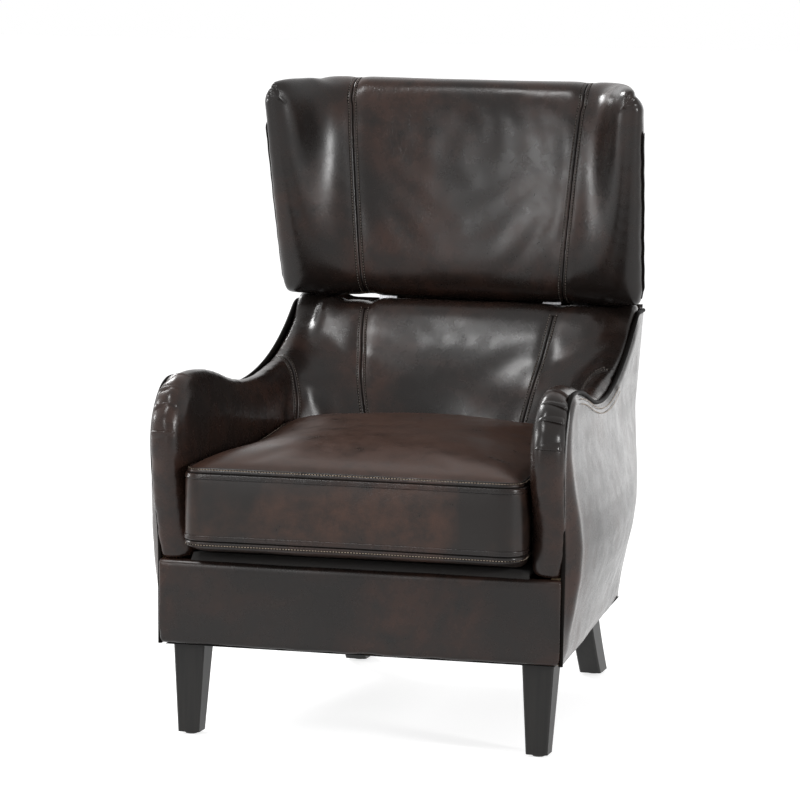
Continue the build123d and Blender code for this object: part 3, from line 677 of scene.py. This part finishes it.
def sew(name, body, tree, rays, rows, thread, closed=False):
    """Lapped seam with stitch rows beside it, along rays cast on a surface, with dark strips of painted shade
    in its groove and along its rows.
    """
    path = even_path(cast_path(tree, rays), 0.003, closed)
    dress(sweep(name + "_seam", path, 22, lap_section, closed), body, hide)
    # Dark strips in the piping's near-black finish: painted shade in the groove and at each stitch row
    shade_lines = [sweep("line", beside(path, 0.0, 0.0002, closed), 8, shade_line_section, closed)]
    for offset in rows:
        shade_lines.append(sweep("line", beside(path, offset, lap_height * 0.55, closed), 8, shade_line_section, closed))
    dress(join_all(name + "_lines", shade_lines), body, piping)
    for n, offset in enumerate(rows):
        dress(stitch_row(f"{name}_stitches_{n + 1}", [path], offset, closed), body, thread)


def wrinkled(point, normal, size, depth):
    """Slow uneven swell of stuffed leather."""
    return point + normal * depth * noise.noise(point / size)


# Arm outline: tangent arcs from the base over the scroll, the dip and the swoop
def arc_points(start, heading, end, count):
    """Points of the arc that leaves a start along a heading and reaches an end."""
    chord = end - start
    left = Vector((-heading.y, heading.x))
    offset = chord.dot(left)
    centre = start + left * (chord.length_squared / (2 * offset))
    turn = 2 * math.atan2(offset, chord.dot(heading))
    points = []
    for n in range(1, count + 1):
        points.append(centre + Matrix.Rotation(turn * n / count, 2) @ (start - centre))
    return points


def arc_towards(start, end, heading, count):
    """Points of the arc that leaves a start and reaches an end along a heading."""
    return list(reversed(arc_points(end, -heading, start, count)))[1:] + [end]


def front_outline():
    """Side view of an arm's front edge as (y, z) points, from the bottom of the base to the crest."""
    up = Vector((0, 1))
    knee = Vector((front_y, base_top))
    swell = Vector((front_y - arm_swell / 2, (base_top + scroll_z) / 2))
    nose = Vector((front_y - arm_swell, scroll_z))
    points = [Vector((front_y, base_low + (base_top - base_low) * n / 14)) for n in range(15)]
    points += arc_points(knee, up, swell, 10)
    points += arc_towards(swell, nose, up, 10)
    return points + arc_points(nose, up, Vector((scroll_y, arm_crest)), 24)


def top_outline():
    """Side view of an arm's top edge as (y, z) points, from the crest over the dip to the rear."""
    along = Vector((1, 0))
    crest = Vector((scroll_y, arm_crest))
    fall = Vector(((scroll_y + arm_dip_y) / 2, (arm_crest + arm_dip) / 2))
    dip = Vector((arm_dip_y, arm_dip))
    rise_turn = 2 * math.atan2(lower_top - arm_dip, swoop_end_y - arm_dip_y)
    rise = Vector((swoop_end_y - swoop_round * math.sin(rise_turn),
                   lower_top - swoop_round + swoop_round * math.cos(rise_turn)))
    points = [crest] + arc_points(crest, along, fall, 12)
    points += arc_towards(fall, dip, along, 12)
    points += arc_points(dip, along, rise, 24)
    points += arc_towards(rise, Vector((swoop_end_y, lower_top)), along, 10)
    return points + [Vector((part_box("outside_back_panel")[1].y, lower_top))]


def along_line(points, share):
    """Point at a share of a polyline's length."""
    lengths = run_lengths(points)
    want = share * lengths[-1]
    for n in range(len(points) - 1):
        if want <= lengths[n + 1] or n == len(points) - 2:
            return points[n].lerp(points[n + 1], (want - lengths[n]) / (lengths[n + 1] - lengths[n]))


def set_back(points, inset):
    """The front outline moved in from the arm's rolled front, less towards the crest."""
    result = []
    for n, point in enumerate(points):
        fade = 1 - between(n / (len(points) - 1), 0.75, 1.0)
        result.append(point + Vector((inset * fade, 0)))
    return result


front_line = set_back(front_outline(), 0.010)
top_line = top_outline()

# Arms and lower back: one padded shell, cut along the seams where the arms meet the back
joint_low = Vector((0.2015, 0.068, 0.455))
joint_high = Vector((0.2850, 0.140, 0.550))
joint_outward = Vector((-0.754, -0.452, 0.482))
joint_line = (joint_high - joint_low).normalized()
joint_normal = joint_outward.cross(joint_line).normalized()
corner_x = 0.240
corner_y = 0.100
crown_height = 0.014
crown_width = 0.078
arm_tuck_turns = (9.0, 35.0, 54.0, 76.0)
arm_tuck_reach = 0.040
top_lift = 0.0095
corner_top_lift = 0.005
slit_x = -0.181
slit_swell = 0.45
further_swell = 0.55
lower_seam_draw = 0.0022
tuck_puff_height = 0.0025
arm_overhang = 0.005
lower_seam_low = 0.105
lower_seam_high = 0.162


def lower_seam_x(z):
    return lower_seam_low + (lower_seam_high - lower_seam_low) * between(z, 0.24, 0.66)


def mirrored(vector, sign):
    return Vector((vector.x * sign, vector.y, vector.z))


def swoop_y(z):
    """Depth of the arm's rising top edge at a height."""
    radius = ((swoop_end_y - arm_dip_y) ** 2 + (lower_top - arm_dip) ** 2) / (2 * (lower_top - arm_dip))
    lift = min(max(z - arm_dip, 0.0), lower_top - arm_dip)
    return arm_dip_y + math.sqrt(lift * (2 * radius - lift))


def near_corner(co):
    """Share of the filling where an arm's inner face meets the back."""
    away = math.hypot(abs(co.x) - corner_x, co.y - max(corner_y, swoop_y(co.z) - 0.02))
    return (1 - between(away, 0.06, 0.15)) * between(co.z, 0.36, 0.43)


def back_face(co):
    """Share of the smoothing on the front of the lower back and in its corners."""
    outer = between(side_x(co.y, co.z) - abs(co.x), 0.010, 0.030)
    middle = 1 - between(abs(co.x), 0.19, 0.23)
    top = 1 - middle * between(co.z, 0.580, 0.605)
    return outer * top * between(co.y, 0.04, 0.10) * between(co.z, 0.36, 0.43)


def scroll_turn(co):
    """Angle round an arm's front scroll in degrees: 0 at the nose, 90 on top."""
    return math.degrees(math.atan2(co.z - scroll_z, scroll_y - co.y))


def tuck_puff(turn):
    """Swell of the leather between two tucks."""
    for first, second in zip(arm_tuck_turns, arm_tuck_turns[1:]):
        if first <= turn <= second:
            return math.sin(math.pi * (turn - first) / (second - first))
    return 0.0


def open_gap(x):
    """How far the two back sections swell towards each other: least at the slit where light shows."""
    return slit_swell + further_swell * between(abs(x - slit_x), 0.022, 0.042)


def shape_shell(co, normal):
    """Crown the arms, draw the back in along its seams and let its top swell into the gap above."""
    inward = side_x(co.y, co.z) - abs(co.x)
    if -0.01 < inward < crown_width and co.y < 0.2:
        away = Vector((0, 0, 1))
        if co.y < scroll_y:
            away = Vector((0, co.y - scroll_y, max(co.z - scroll_z, 0.0))).normalized()
        hump = math.sin(math.pi * min(max(inward / crown_width, 0.0), 1.0)) ** 0.8
        fade = between(co.z, 0.34, 0.46) * (1 - between(co.y, 0.06, 0.2))
        facing = 0.3 + 0.7 * max(normal.dot(away), 0.0)
        puff = tuck_puff_height * tuck_puff(scroll_turn(co)) * (1 - between(inward, 0.02, arm_tuck_reach))
        overhang = arm_overhang * (1 - between(inward, 0.0, 0.020))
        overhang *= 1 - between(co.y, scroll_y - 0.05, scroll_y)
        co = co + away * (crown_height * hump + puff * (co.y < scroll_y)) * fade * facing
        co.x += math.copysign(overhang, co.x) * between(co.z, 0.29, 0.32)
    if co.y > 0.09 and normal.y < 0.2 and co.z > 0.30:
        seam = bump_at(abs(co.x), lower_seam_x(co.z), seam_draw_width)
        co = co - normal * lower_seam_draw * seam
    swell = top_lift * open_gap(co.x) + corner_top_lift * between(abs(co.x), 0.20, 0.24)
    co.z += swell * between(co.z, 0.585, 0.618) * between(co.y, 0.20, 0.26)
    return wrinkled(co, normal, size=0.10, depth=0.0012)


def make_shell():
    parts = [f"{stem}_{side}" for stem in ("arm_cover", "arm_pad", "side_board") for side in sides]
    shell = gather("shell", *parts, "lower_back_cover", "lower_back_pad")
    skin_over(shell, voxel=0.006, rounds=6)
    fill_hollow(shell, near_corner, 400)
    soften(shell, back_face, 80)

    def held(co):
        outer = between(abs(co.x), side_x(co.y, co.z) - 0.012, side_x(co.y, co.z) - 0.004)
        rear = between(co.y, 0.25, 0.28)
        low = 1 - between(co.z, base_top + 0.02, base_top + 0.05)
        return max(outer, rear, low)

    blow_up(shell, pressure=2.0, cap=0.006, held=held, frames=12)
    refine(shell)
    move_points(shell, shape_shell)
    return cut_away(shell, (0, 0, base_top + 0.001), (0, 0, -1))


shell = make_shell()
lower_back = twin(shell, "lower_back")
for side, sign in sides.items():
    arm = cut_away(twin(shell, "arm_" + side), mirrored(joint_low, sign), mirrored(joint_normal, sign))
    cut_away(arm, (0, 0, 0), (-sign, 0, 0))
    dress(arm, "chair", hide)
    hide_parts("arm_cover_" + side, "arm_pad_" + side)
    cut_away(lower_back, mirrored(joint_low, sign), -mirrored(joint_normal, sign))
dress(lower_back, "chair", hide)
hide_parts("lower_back_cover", "lower_back_pad")
shell_surface = surface_of(shell)
bpy.data.objects.remove(shell)

for side, sign in sides.items():
    rays = []
    for n in range(90):
        z = lower_top - 0.005 - 0.32 * n / 89
        rays.append((Vector((sign * lower_seam_x(z), -0.6, z)), Vector((0, 1, 0))))
    sew("lower_back_" + side, "chair", shell_surface, rays, double_row, brown_thread)
    rays = []
    outward = mirrored(joint_outward, sign)
    for n in range(80):
        start = mirrored(joint_low, sign) + mirrored(joint_line, sign) * (0.150 * n / 79 - 0.02)
        rays.append((start + outward * 0.25, -outward))
    sew("arm_joint_" + side, "chair", shell_surface, rays, double_row, brown_thread)


# Outside arm panels, with the piping and the thread along their edge
panel_hem = 0.003
panel_lift = 0.0012
chair_inside = Vector((0, 0, 0.35))


def panel_place(tree, sign, along, up):
    """Point of an outside panel: its outline filled in, standing out as far as the solid panel does."""
    rear_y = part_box("outside_back_panel")[1].y
    low_rear, high_rear = Vector((wall_rear_y - 0.002, base_low)), Vector((rear_y, lower_top))
    low_front, high_front = front_line[0], top_line[0]
    low, high = low_front.lerp(low_rear, along), along_line(top_line, along)
    near, far = along_line(front_line, up), low_rear.lerp(high_rear, up)
    corners = low_front.lerp(low_rear, along).lerp(high_front.lerp(high_rear, along), up)
    flat = low.lerp(high, up) + near.lerp(far, along) - corners
    wall = side_x(flat.x, flat.y)
    hem = Vector((panel_hem * between(along, 0.96, 1.0), -panel_hem * (1 - between(up, 0.0, 0.04))))
    hit = tree.ray_cast(Vector((sign * 0.6, flat.x, flat.y)), Vector((-sign, 0, 0)))[0]
    out = max(abs(hit.x) - wall, 0.0) if hit else 0.0
    edge = between(min(along, up, 1 - along, 1 - up), 0.0, 0.05)
    roll = 0.005 * bump_at(along, 0.030, 0.022) * between(up, 0.02, 0.2)
    return Vector((sign * (wall + panel_lift + out * edge + roll), flat.x + hem.x, flat.y + hem.y))


def offset_line(points, inset, first_y, last_y):
    """Part of an outline moved down and inwards by an inset."""
    result = []
    for before, after in zip(points, points[1:]):
        middle = (before + after) / 2
        if first_y < middle.x < last_y:
            heading = (after - before).normalized()
            result.append(middle + Vector((heading.y, -heading.x)) * inset)
    return result


for side, sign in sides.items():
    solid_panel = gather("solid_panel", "outside_arm_panel_" + side)
    solid_surface = surface_of(solid_panel)
    bpy.data.objects.remove(solid_panel)
    panel = lay_grid("outside_panel_" + side, 110, 80,
                     lambda along, up: panel_place(solid_surface, sign, along, up))
    smooth(panel, 6)
    face_outward(panel, chair_inside)
    move_points(panel, lambda co, normal: wrinkled(co, normal, size=0.12, depth=0.0012))
    thicken(panel, leather_sheet)
    dress(panel, "chair", hide)
    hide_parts("outside_arm_panel_" + side, "outside_arm_wadding_" + side)
    panel_surface = surface_of(panel)
    path = []
    for point in front_line + top_line[1:]:
        wall = side_x(point.x, point.y) + panel_lift
        path.append((Vector((sign * wall, point.x, point.y)), Vector((sign, 0, 0))))
    welt = sweep("arm_piping_" + side, even_path(path, 0.004), 10, cord_section)
    dress(welt, "chair", piping)
    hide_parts("arm_welt_" + side)
    for n, inset in enumerate((0.010, 0.017)):
        rays = []
        for point in offset_line(top_line, inset, -0.27, 0.10):
            rays.append((Vector((sign * 0.6, point.x, point.y)), Vector((-sign, 0, 0))))
        path = even_path(cast_path(panel_surface, rays), 0.004)
        row = stitch_row(f"arm_edge_stitches_{side}_{n + 1}", [path], 0.0)
        dress(row, "chair", tan_thread)

# Front border
border = gather("front_border", "front_border_cover", "front_border_pad")
skin_over(border, voxel=0.004, rounds=5)
refine(border)


def shape_border(co, normal):
    low = 1 - between(co.z, base_low, base_low + 0.03)
    co.z += 0.0016 * low * noise.noise(Vector((co.x / 0.035, 0, 0)))
    return wrinkled(co, normal, size=0.10, depth=0.0016)


move_points(border, shape_border)
dress(border, "chair", hide)
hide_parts("front_border_cover", "front_border_pad")

# Seat deck under the loose cushion, its front edge lapped over the rail. Its near-black cloth, brought
# forward over the rail's top, is painted shade for the gap under the cushion's front.
deck_low, deck_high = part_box("seat_deck")
deck_wall = 0.051


# The deck reaches forward to the rail's front, so its near-black cloth stands as painted shade in the gap
# under the cushion
def deck_place(along, up):
    y = front_y + 0.004 + (deck_high.y - front_y - 0.004) * up
    half = side_x(y, deck_high.z) - deck_wall
    crown = 0.0012 * (1 - (2 * along - 1) ** 4)
    fold = 0.010 * (1 - between(up, 0.0, 0.016))
    return Vector((half * (2 * along - 1), y, deck_high.z - 0.0014 + crown - fold))


deck = lay_grid("seat_deck_pad", 40, 120, deck_place)
face_outward(deck, Vector((0, 0, 0)))
thicken(deck, deck_high.z - deck_low.z - 0.002)
dress(deck, "chair", deck_cloth_and_shade)
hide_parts("seat_deck")


# Outside back of the lower section and the cloth under the seat
def outside_back_place(along, up):
    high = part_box("outside_back_panel")[1]
    z = base_low + (high.z - base_low) * up
    rear = wall_rear_y + (high.y - wall_rear_y) * up
    half = (rear_half_low + (high.x - rear_half_low) * up) * (1 - 2 * along)
    z += top_lift * open_gap(half) * between(up, 0.9, 1.0)
    puff = 0.004 * (1 - (2 * along - 1) ** 4) * (1 - (2 * up - 1) ** 4)
    return Vector((half, rear + puff, z))


outside_back = lay_grid("outside_back", 80, 64, outside_back_place)
face_outward(outside_back, chair_inside)
move_points(outside_back, lambda co, normal: wrinkled(co, normal, size=0.11, depth=0.0010))
thicken(outside_back, 0.003)
dress(outside_back, "chair", hide)
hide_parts("outside_back_panel")

cover_low, cover_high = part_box("dust_cover")
cover_rear_half = 0.262
cover_sag = 0.006
cover_cloth = 0.0006


def dust_cover_place(along, up):
    y = cover_low.y + (cover_high.y - cover_low.y) * up
    half = cover_high.x + (cover_rear_half - cover_high.x) * up
    sag = cover_sag * (1 - (2 * along - 1) ** 2) * (1 - (2 * up - 1) ** 2)
    return Vector((half * (2 * along - 1), y, cover_high.z - cover_cloth - sag))


dust_cover = lay_grid("dust_cover_cloth", 40, 40, dust_cover_place)
face_outward(dust_cover, chair_inside)
thicken(dust_cover, cover_cloth)
dress(dust_cover, "chair", black_cloth)
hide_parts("dust_cover")

# Seat cushion
cushion_edge = 0.128
cushion_crown = 0.034
cushion_front_lift = 0.011
cushion_rear_lift = 0.019
cushion_hem_lift = 0.010
cushion_stitch_offset = 0.0056


def shape_cushion(co, normal):
    """Fill the loose cushion out: a taller front edge, a higher rear and a lifted front bottom edge."""
    height = co.z - cushion_low
    crown = min(max((height - cushion_edge) / cushion_crown, 0.0), 1.0)
    rear = between(co.y, -0.15, 0.08)
    lift = between(height, 0.02, 0.11) * (cushion_front_lift + cushion_rear_lift * rear * (1 - 0.4 * crown))
    front = 1 - between(co.y, -0.40, -0.33)
    lift += cushion_hem_lift * front * (1 - between(height, 0.0, 0.05))
    return wrinkled(co + Vector((0, 0, lift)), normal, size=0.13, depth=0.0018)


def make_cushion():
    piece = gather("seat_cushion", "seat_cushion_cover", "seat_cushion_core")
    skin_over(piece, voxel=0.005, rounds=6)

    def held(co):
        height = co.z - cushion_low
        low = 1 - between(height, 0.004, 0.014)
        rim = 1 - between(abs(height - cushion_edge + 0.003), 0.004, 0.012)
        return max(low, rim)

    def on_crown(co):
        return between(co.z - cushion_low, cushion_edge + 0.004, cushion_edge + 0.010)

    soften(piece, on_crown, 200)
    blow_up(piece, pressure=4.0, cap=0.008, held=held)
    refine(piece)
    return move_points(piece, shape_cushion)


cushion = make_cushion()
dress(cushion, "seat_cushion", seat_hide_worn_and_lit)
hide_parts("seat_cushion_cover", "seat_cushion_core")
cushion_surface = surface_of(cushion)
cushion_middle = Vector((0, -0.16, 0))


def cushion_loop(level):
    """Rays at a height all round the cushion, towards its middle."""
    rays = []
    for n in range(720):
        turn = math.tau * n / 720
        away = Vector((math.cos(turn), math.sin(turn), 0))
        rear = cushion_rear_lift * between(level, 0.02, 0.11) * between(0.45 * away.y - 0.16, -0.15, 0.08)
        rays.append((cushion_middle + away * 0.6 + Vector((0, 0, cushion_low + level + rear)), -away))
    return rays


sew("cushion_top", "seat_cushion", cushion_surface, cushion_loop(0.130), (cushion_stitch_offset,),
    tan_thread, closed=True)
sew("cushion_base", "seat_cushion", cushion_surface, cushion_loop(0.026), (-cushion_stitch_offset,),
    tan_thread, closed=True)

# Upper back
wing_corner = 0.042
corner_lift = 0.013
top_stretch = 0.010
wing_pleat_turns = (14.0, 36.0, 55.0, 76.0)
wing_pleat_spread = 4.5
wing_pleat_depth = 0.0032
wing_fill_x = 0.245
upper_seam_draw = 0.0024
pucker_depth = 0.00035
pucker_pitch = 0.034
upper_sag = 0.004


def wing_edge(z):
    """Outer front edge of the right wing at a height."""
    share = (z - upper_low) / (upper_top - upper_low)
    return Vector((wing_half_low + (wing_half_high - wing_half_low) * share,
                   wing_y_low + (wing_y_high - wing_y_low) * share, z))


def upper_seam_x(z):
    return seam_half_low + (seam_half_high - seam_half_low) * (z - upper_low) / (upper_top - upper_low)


def near_wing(co):
    """Share of the filling where a wing's inner face meets the middle of the back."""
    middle_y = 0.268 + 0.08 * (co.z - 0.83)
    return 1 - between(math.hypot(abs(co.x) - wing_fill_x, co.y - middle_y), 0.08, 0.17)


def wing_face(co):
    """Share of the smoothing on the front of the upper back, up to the wings' outer edges."""
    outer = between(wing_edge(co.z).x - abs(co.x), 0.004, 0.022)
    middle = 1 - between(abs(co.x), 0.18, 0.22)
    top = 1 - middle * between(co.z, upper_top - 0.05, upper_top - 0.02)
    return outer * top * (1 - between(co.y, 0.29, 0.31))


def wing_top(co):
    """Share of the filling on top of the wings, where they run into the back."""
    return between(abs(co.x), 0.19, 0.22) * between(co.z, upper_top - 0.11, upper_top - 0.06)


def corner_pleat(across, rise):
    """Depth share of the pleats that fan out over a wing's top corner."""
    turn = math.degrees(math.atan2(rise, across))
    depth = max(bump_at(turn, pleat, wing_pleat_spread) for pleat in wing_pleat_turns)
    return depth * between(math.hypot(across, rise), 0.022, 0.046)


def shape_upper(co, normal):
    """Draw the seams in, pucker the wings' edges, lift, pleat and round their top corners, sag the bottom."""
    edge = wing_edge(co.z)
    if normal.y < 0.3:
        co = co - normal * upper_seam_draw * bump_at(abs(co.x), upper_seam_x(co.z), seam_draw_width)
    rim = bump_at(abs(co.x), edge.x, 0.016) * bump_at(co.y, edge.y, 0.022)
    wave = math.cos(math.tau * co.z / pucker_pitch + 2 * noise.noise(co / 0.05))
    co = co - normal * pucker_depth * rim * (1 + wave)
    lift = corner_lift * between(abs(co.x), 0.22, 0.26) * (1 - between(co.y, 0.24, 0.32))
    co.z += lift * between(co.z, upper_top - 0.13, upper_top - 0.03)
    across, rise = abs(co.x) - (wing_half_high - wing_corner), co.z - (upper_top - wing_corner)
    if across > 0 and rise > 0:
        co = co - normal * wing_pleat_depth * corner_pleat(across, rise)
        squeeze = max(across, rise) / math.hypot(across, rise)
        co.x = math.copysign(wing_half_high - wing_corner + across * squeeze, co.x)
        co.z = upper_top - wing_corner + rise * squeeze
    co.z -= upper_sag * open_gap(co.x) * (1 - between(co.z, upper_low + 0.002, upper_low + 0.03))
    co.z += top_stretch * between(co.z, 0.70, 0.97)
    return wrinkled(co, normal, size=0.12, depth=0.0014)


def make_upper_back():
    parts = ["upper_low_rail", "upper_top_rail"]
    parts += [f"{stem}_{side}" for stem in ("wing_board", "upper_post") for side in sides]
    piece = gather("upper_back", "upper_back_cover", "upper_back_pad", "upper_outside_panel", *parts)
    skin_over(piece, voxel=0.005, rounds=8)
    fill_hollow(piece, near_wing, 600)
    soften(piece, wing_face, 420)
    fill_hollow(piece, wing_top, 250)
    blow_up(piece, pressure=1.0, cap=0.004, held=lambda co: between(co.y, 0.285, 0.30), frames=14, rounds=24)
    refine(piece)
    return move_points(piece, shape_upper)


upper_back = make_upper_back()
dress(upper_back, "upper_back", hide)
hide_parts("upper_back_cover", "upper_back_pad")
upper_surface = surface_of(upper_back)


def upper_outside_place(along, up):
    """Point of the panel that wraps the rear of the upper back from one wing's piping to the other's."""
    z = upper_low + 0.014 + (upper_top - upper_low - 0.080) * up
    edge = wing_edge(z)
    axis = Vector((0, 0.20, z))
    first = math.atan2(edge.y - axis.y, edge.x)
    turn = first + (math.pi - 2 * first) * along
    away = Vector((math.cos(turn), math.sin(turn), 0))
    point = upper_surface.ray_cast(axis + away, -away)[0]
    return point + away * 0.0014


upper_outside = lay_grid("upper_outside", 130, 56, upper_outside_place)
face_outward(upper_outside, Vector((0, 0.2, 0.8)))
thicken(upper_outside, leather_sheet)
dress(upper_outside, "upper_back", hide)
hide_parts("upper_outside_panel")

for side, sign in sides.items():
    rays = []
    for n in range(40):
        tip = math.radians(100 - 100 * n / 39)
        away = Vector((0, -math.cos(tip), math.sin(tip)))
        start = Vector((sign * upper_seam_x(upper_top), 0.30, upper_top - 0.03))
        rays.append((start + away * 0.3, -away))
    for n in range(1, 120):
        z = upper_top - 0.03 - (upper_top - upper_low - 0.032) * n / 119
        rays.append((Vector((sign * upper_seam_x(z), 0.0, z)), Vector((0, 1, 0))))
    sew("upper_back_" + side, "upper_back", upper_surface, rays, double_row, brown_thread)
    rays = []
    for n in range(100):
        edge = wing_edge(upper_low + 0.014 + (upper_top - upper_low - 0.066) * n / 99)
        rays.append((Vector((sign * (edge.x + 0.1), edge.y, edge.z)), Vector((-sign, 0, 0))))
    path = even_path(cast_path(upper_surface, rays), 0.004)
    sunk = []
    for n, (point, normal) in enumerate(path):
        depth = 0.007 * (1 - between(min(n, len(path) - 1 - n), 0, 5))
        sunk.append((point - normal * depth, normal))
    welt = sweep("upper_piping_" + side, sunk, 10, cord_section)
    dress(welt, "upper_back", piping)
    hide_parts("upper_welt_" + side)

# Tucks on the fronts of the arms
for side, sign in sides.items():
    tucks = []
    for turn in arm_tuck_turns:
        angle = math.radians(turn)
        away = Vector((0, -math.cos(angle), math.sin(angle)))
        rays = []
        for n in range(24):
            x = side_x(front_y, arm_crest) + 0.001 - arm_tuck_reach * n / 23
            rays.append((Vector((sign * x, scroll_y, scroll_z)) + away * 0.3, -away))
        path = even_path(cast_path(shell_surface, rays), 0.002)
        tucks.append(sweep("tuck", path, 20, tuck_section))
    dress(join_all("arm_tucks_" + side, tucks), "chair", hide)
bpy.data.objects.remove(stitch)


# Floor, light and camera
def seen_directly(tree):
    """Mask of the rays that show the background: those from the camera, a glossy or a clear surface."""
    rays = wire(tree, "LightPath")
    looked_at = combine(tree, "MAXIMUM", rays.outputs["Is Camera Ray"], rays.outputs["Is Glossy Ray"])
    return combine(tree, "MAXIMUM", looked_at, rays.outputs["Is Transmission Ray"])


floor_grey = 0.48
floor_glow = 0.76
world_light = 0.55


def make_stage():
    bpy.ops.object.select_all(action="DESELECT")
    bpy.ops.mesh.primitive_plane_add(size=60.0)
    floor = bpy.context.object
    floor.name = "floor"
    material, tree, shader = shaded("pale_floor")
    shader.inputs["Base Color"].default_value = (floor_grey, floor_grey, floor_grey, 1)
    shader.inputs["Roughness"].default_value = 0.75
    floor.data.materials.append(material)
    strength = combine(tree, "MULTIPLY", seen_directly(tree), floor_glow)
    glow = wire(tree, "Emission", Strength=strength)
    both = wire(tree, "AddShader")
    tree.links.new(shader.outputs["BSDF"], both.inputs[0])
    tree.links.new(glow.outputs["Emission"], both.inputs[1])
    tree.links.new(both.outputs["Shader"], tree.nodes["Material Output"].inputs["Surface"])

    world = bpy.data.worlds.new("studio")
    bpy.context.scene.world = world
    world.use_nodes = True
    tree = world.node_tree
    background = tree.nodes["Background"]
    background.inputs["Color"].default_value = (1.0, 1.0, 1.0, 1)
    level = wire(tree, "MapRange", Value=seen_directly(tree), To_Min=world_light, To_Max=1.0)
    tree.links.new(level.outputs["Result"], background.inputs["Strength"])


lamp_target = Vector((0, 0.1, 0.75))


def make_lamp(name, turn, tip, away, size, power):
    """Round soft lamp aimed at the chair, by degrees towards +X and upwards, distance, width and watts."""
    turn, tip = math.radians(turn), math.radians(tip)
    heading = Vector((math.sin(turn) * math.cos(tip), -math.cos(turn) * math.cos(tip), math.sin(tip)))
    data = bpy.data.lights.new(name, "AREA")
    data.shape = "DISK"
    data.size = size
    data.energy = power
    lamp = add_object(name, data)
    lamp.location = lamp_target + heading * away
    lamp.rotation_euler = (-heading).to_track_quat("-Z", "Y").to_euler()
    lamp.visible_camera = False


camera_turn = 0.2643581
camera_tip = 0.1186144
camera_roll = 0.0126187
camera_place = Vector((1.7027133, -6.4159735, 1.2864801))
camera_focal_px = 4200.0
picture_px = 800.0


def make_camera():
    data = bpy.data.cameras.new("camera")
    data.sensor_width = 36.0
    data.lens = camera_focal_px * data.sensor_width / picture_px
    data.clip_end = 100.0
    camera = add_object("camera", data)
    forward = Vector((-math.sin(camera_turn) * math.cos(camera_tip),
                      math.cos(camera_turn) * math.cos(camera_tip), -math.sin(camera_tip)))
    across = Vector((math.cos(camera_turn), math.sin(camera_turn), 0))
    up = across.cross(forward)
    right = math.cos(camera_roll) * across + math.sin(camera_roll) * up
    top = -math.sin(camera_roll) * across + math.cos(camera_roll) * up
    turned = Matrix((right, top, -forward)).transposed().to_4x4()
    camera.matrix_world = Matrix.Translation(camera_place) @ turned
    bpy.context.scene.camera = camera


make_stage()
make_lamp("key", -36, 48, 4.0, 0.9, 60)
make_lamp("rear_left_box", -125, 30, 3.0, 0.9, 45)
make_lamp("right_box", 62, 8, 3.2, 0.5, 45)
make_lamp("front_box", -20, 2, 3.4, 1.0, 4)
make_lamp("front_left_box", -27, 8, 3.2, 0.5, 12)
make_lamp("left_box", -85, 6, 2.8, 0.6, 30)
make_lamp("rear_box", 163, -3, 4.0, 2.2, 9)
make_camera()
bpy.context.scene.view_settings.view_transform = "Standard"
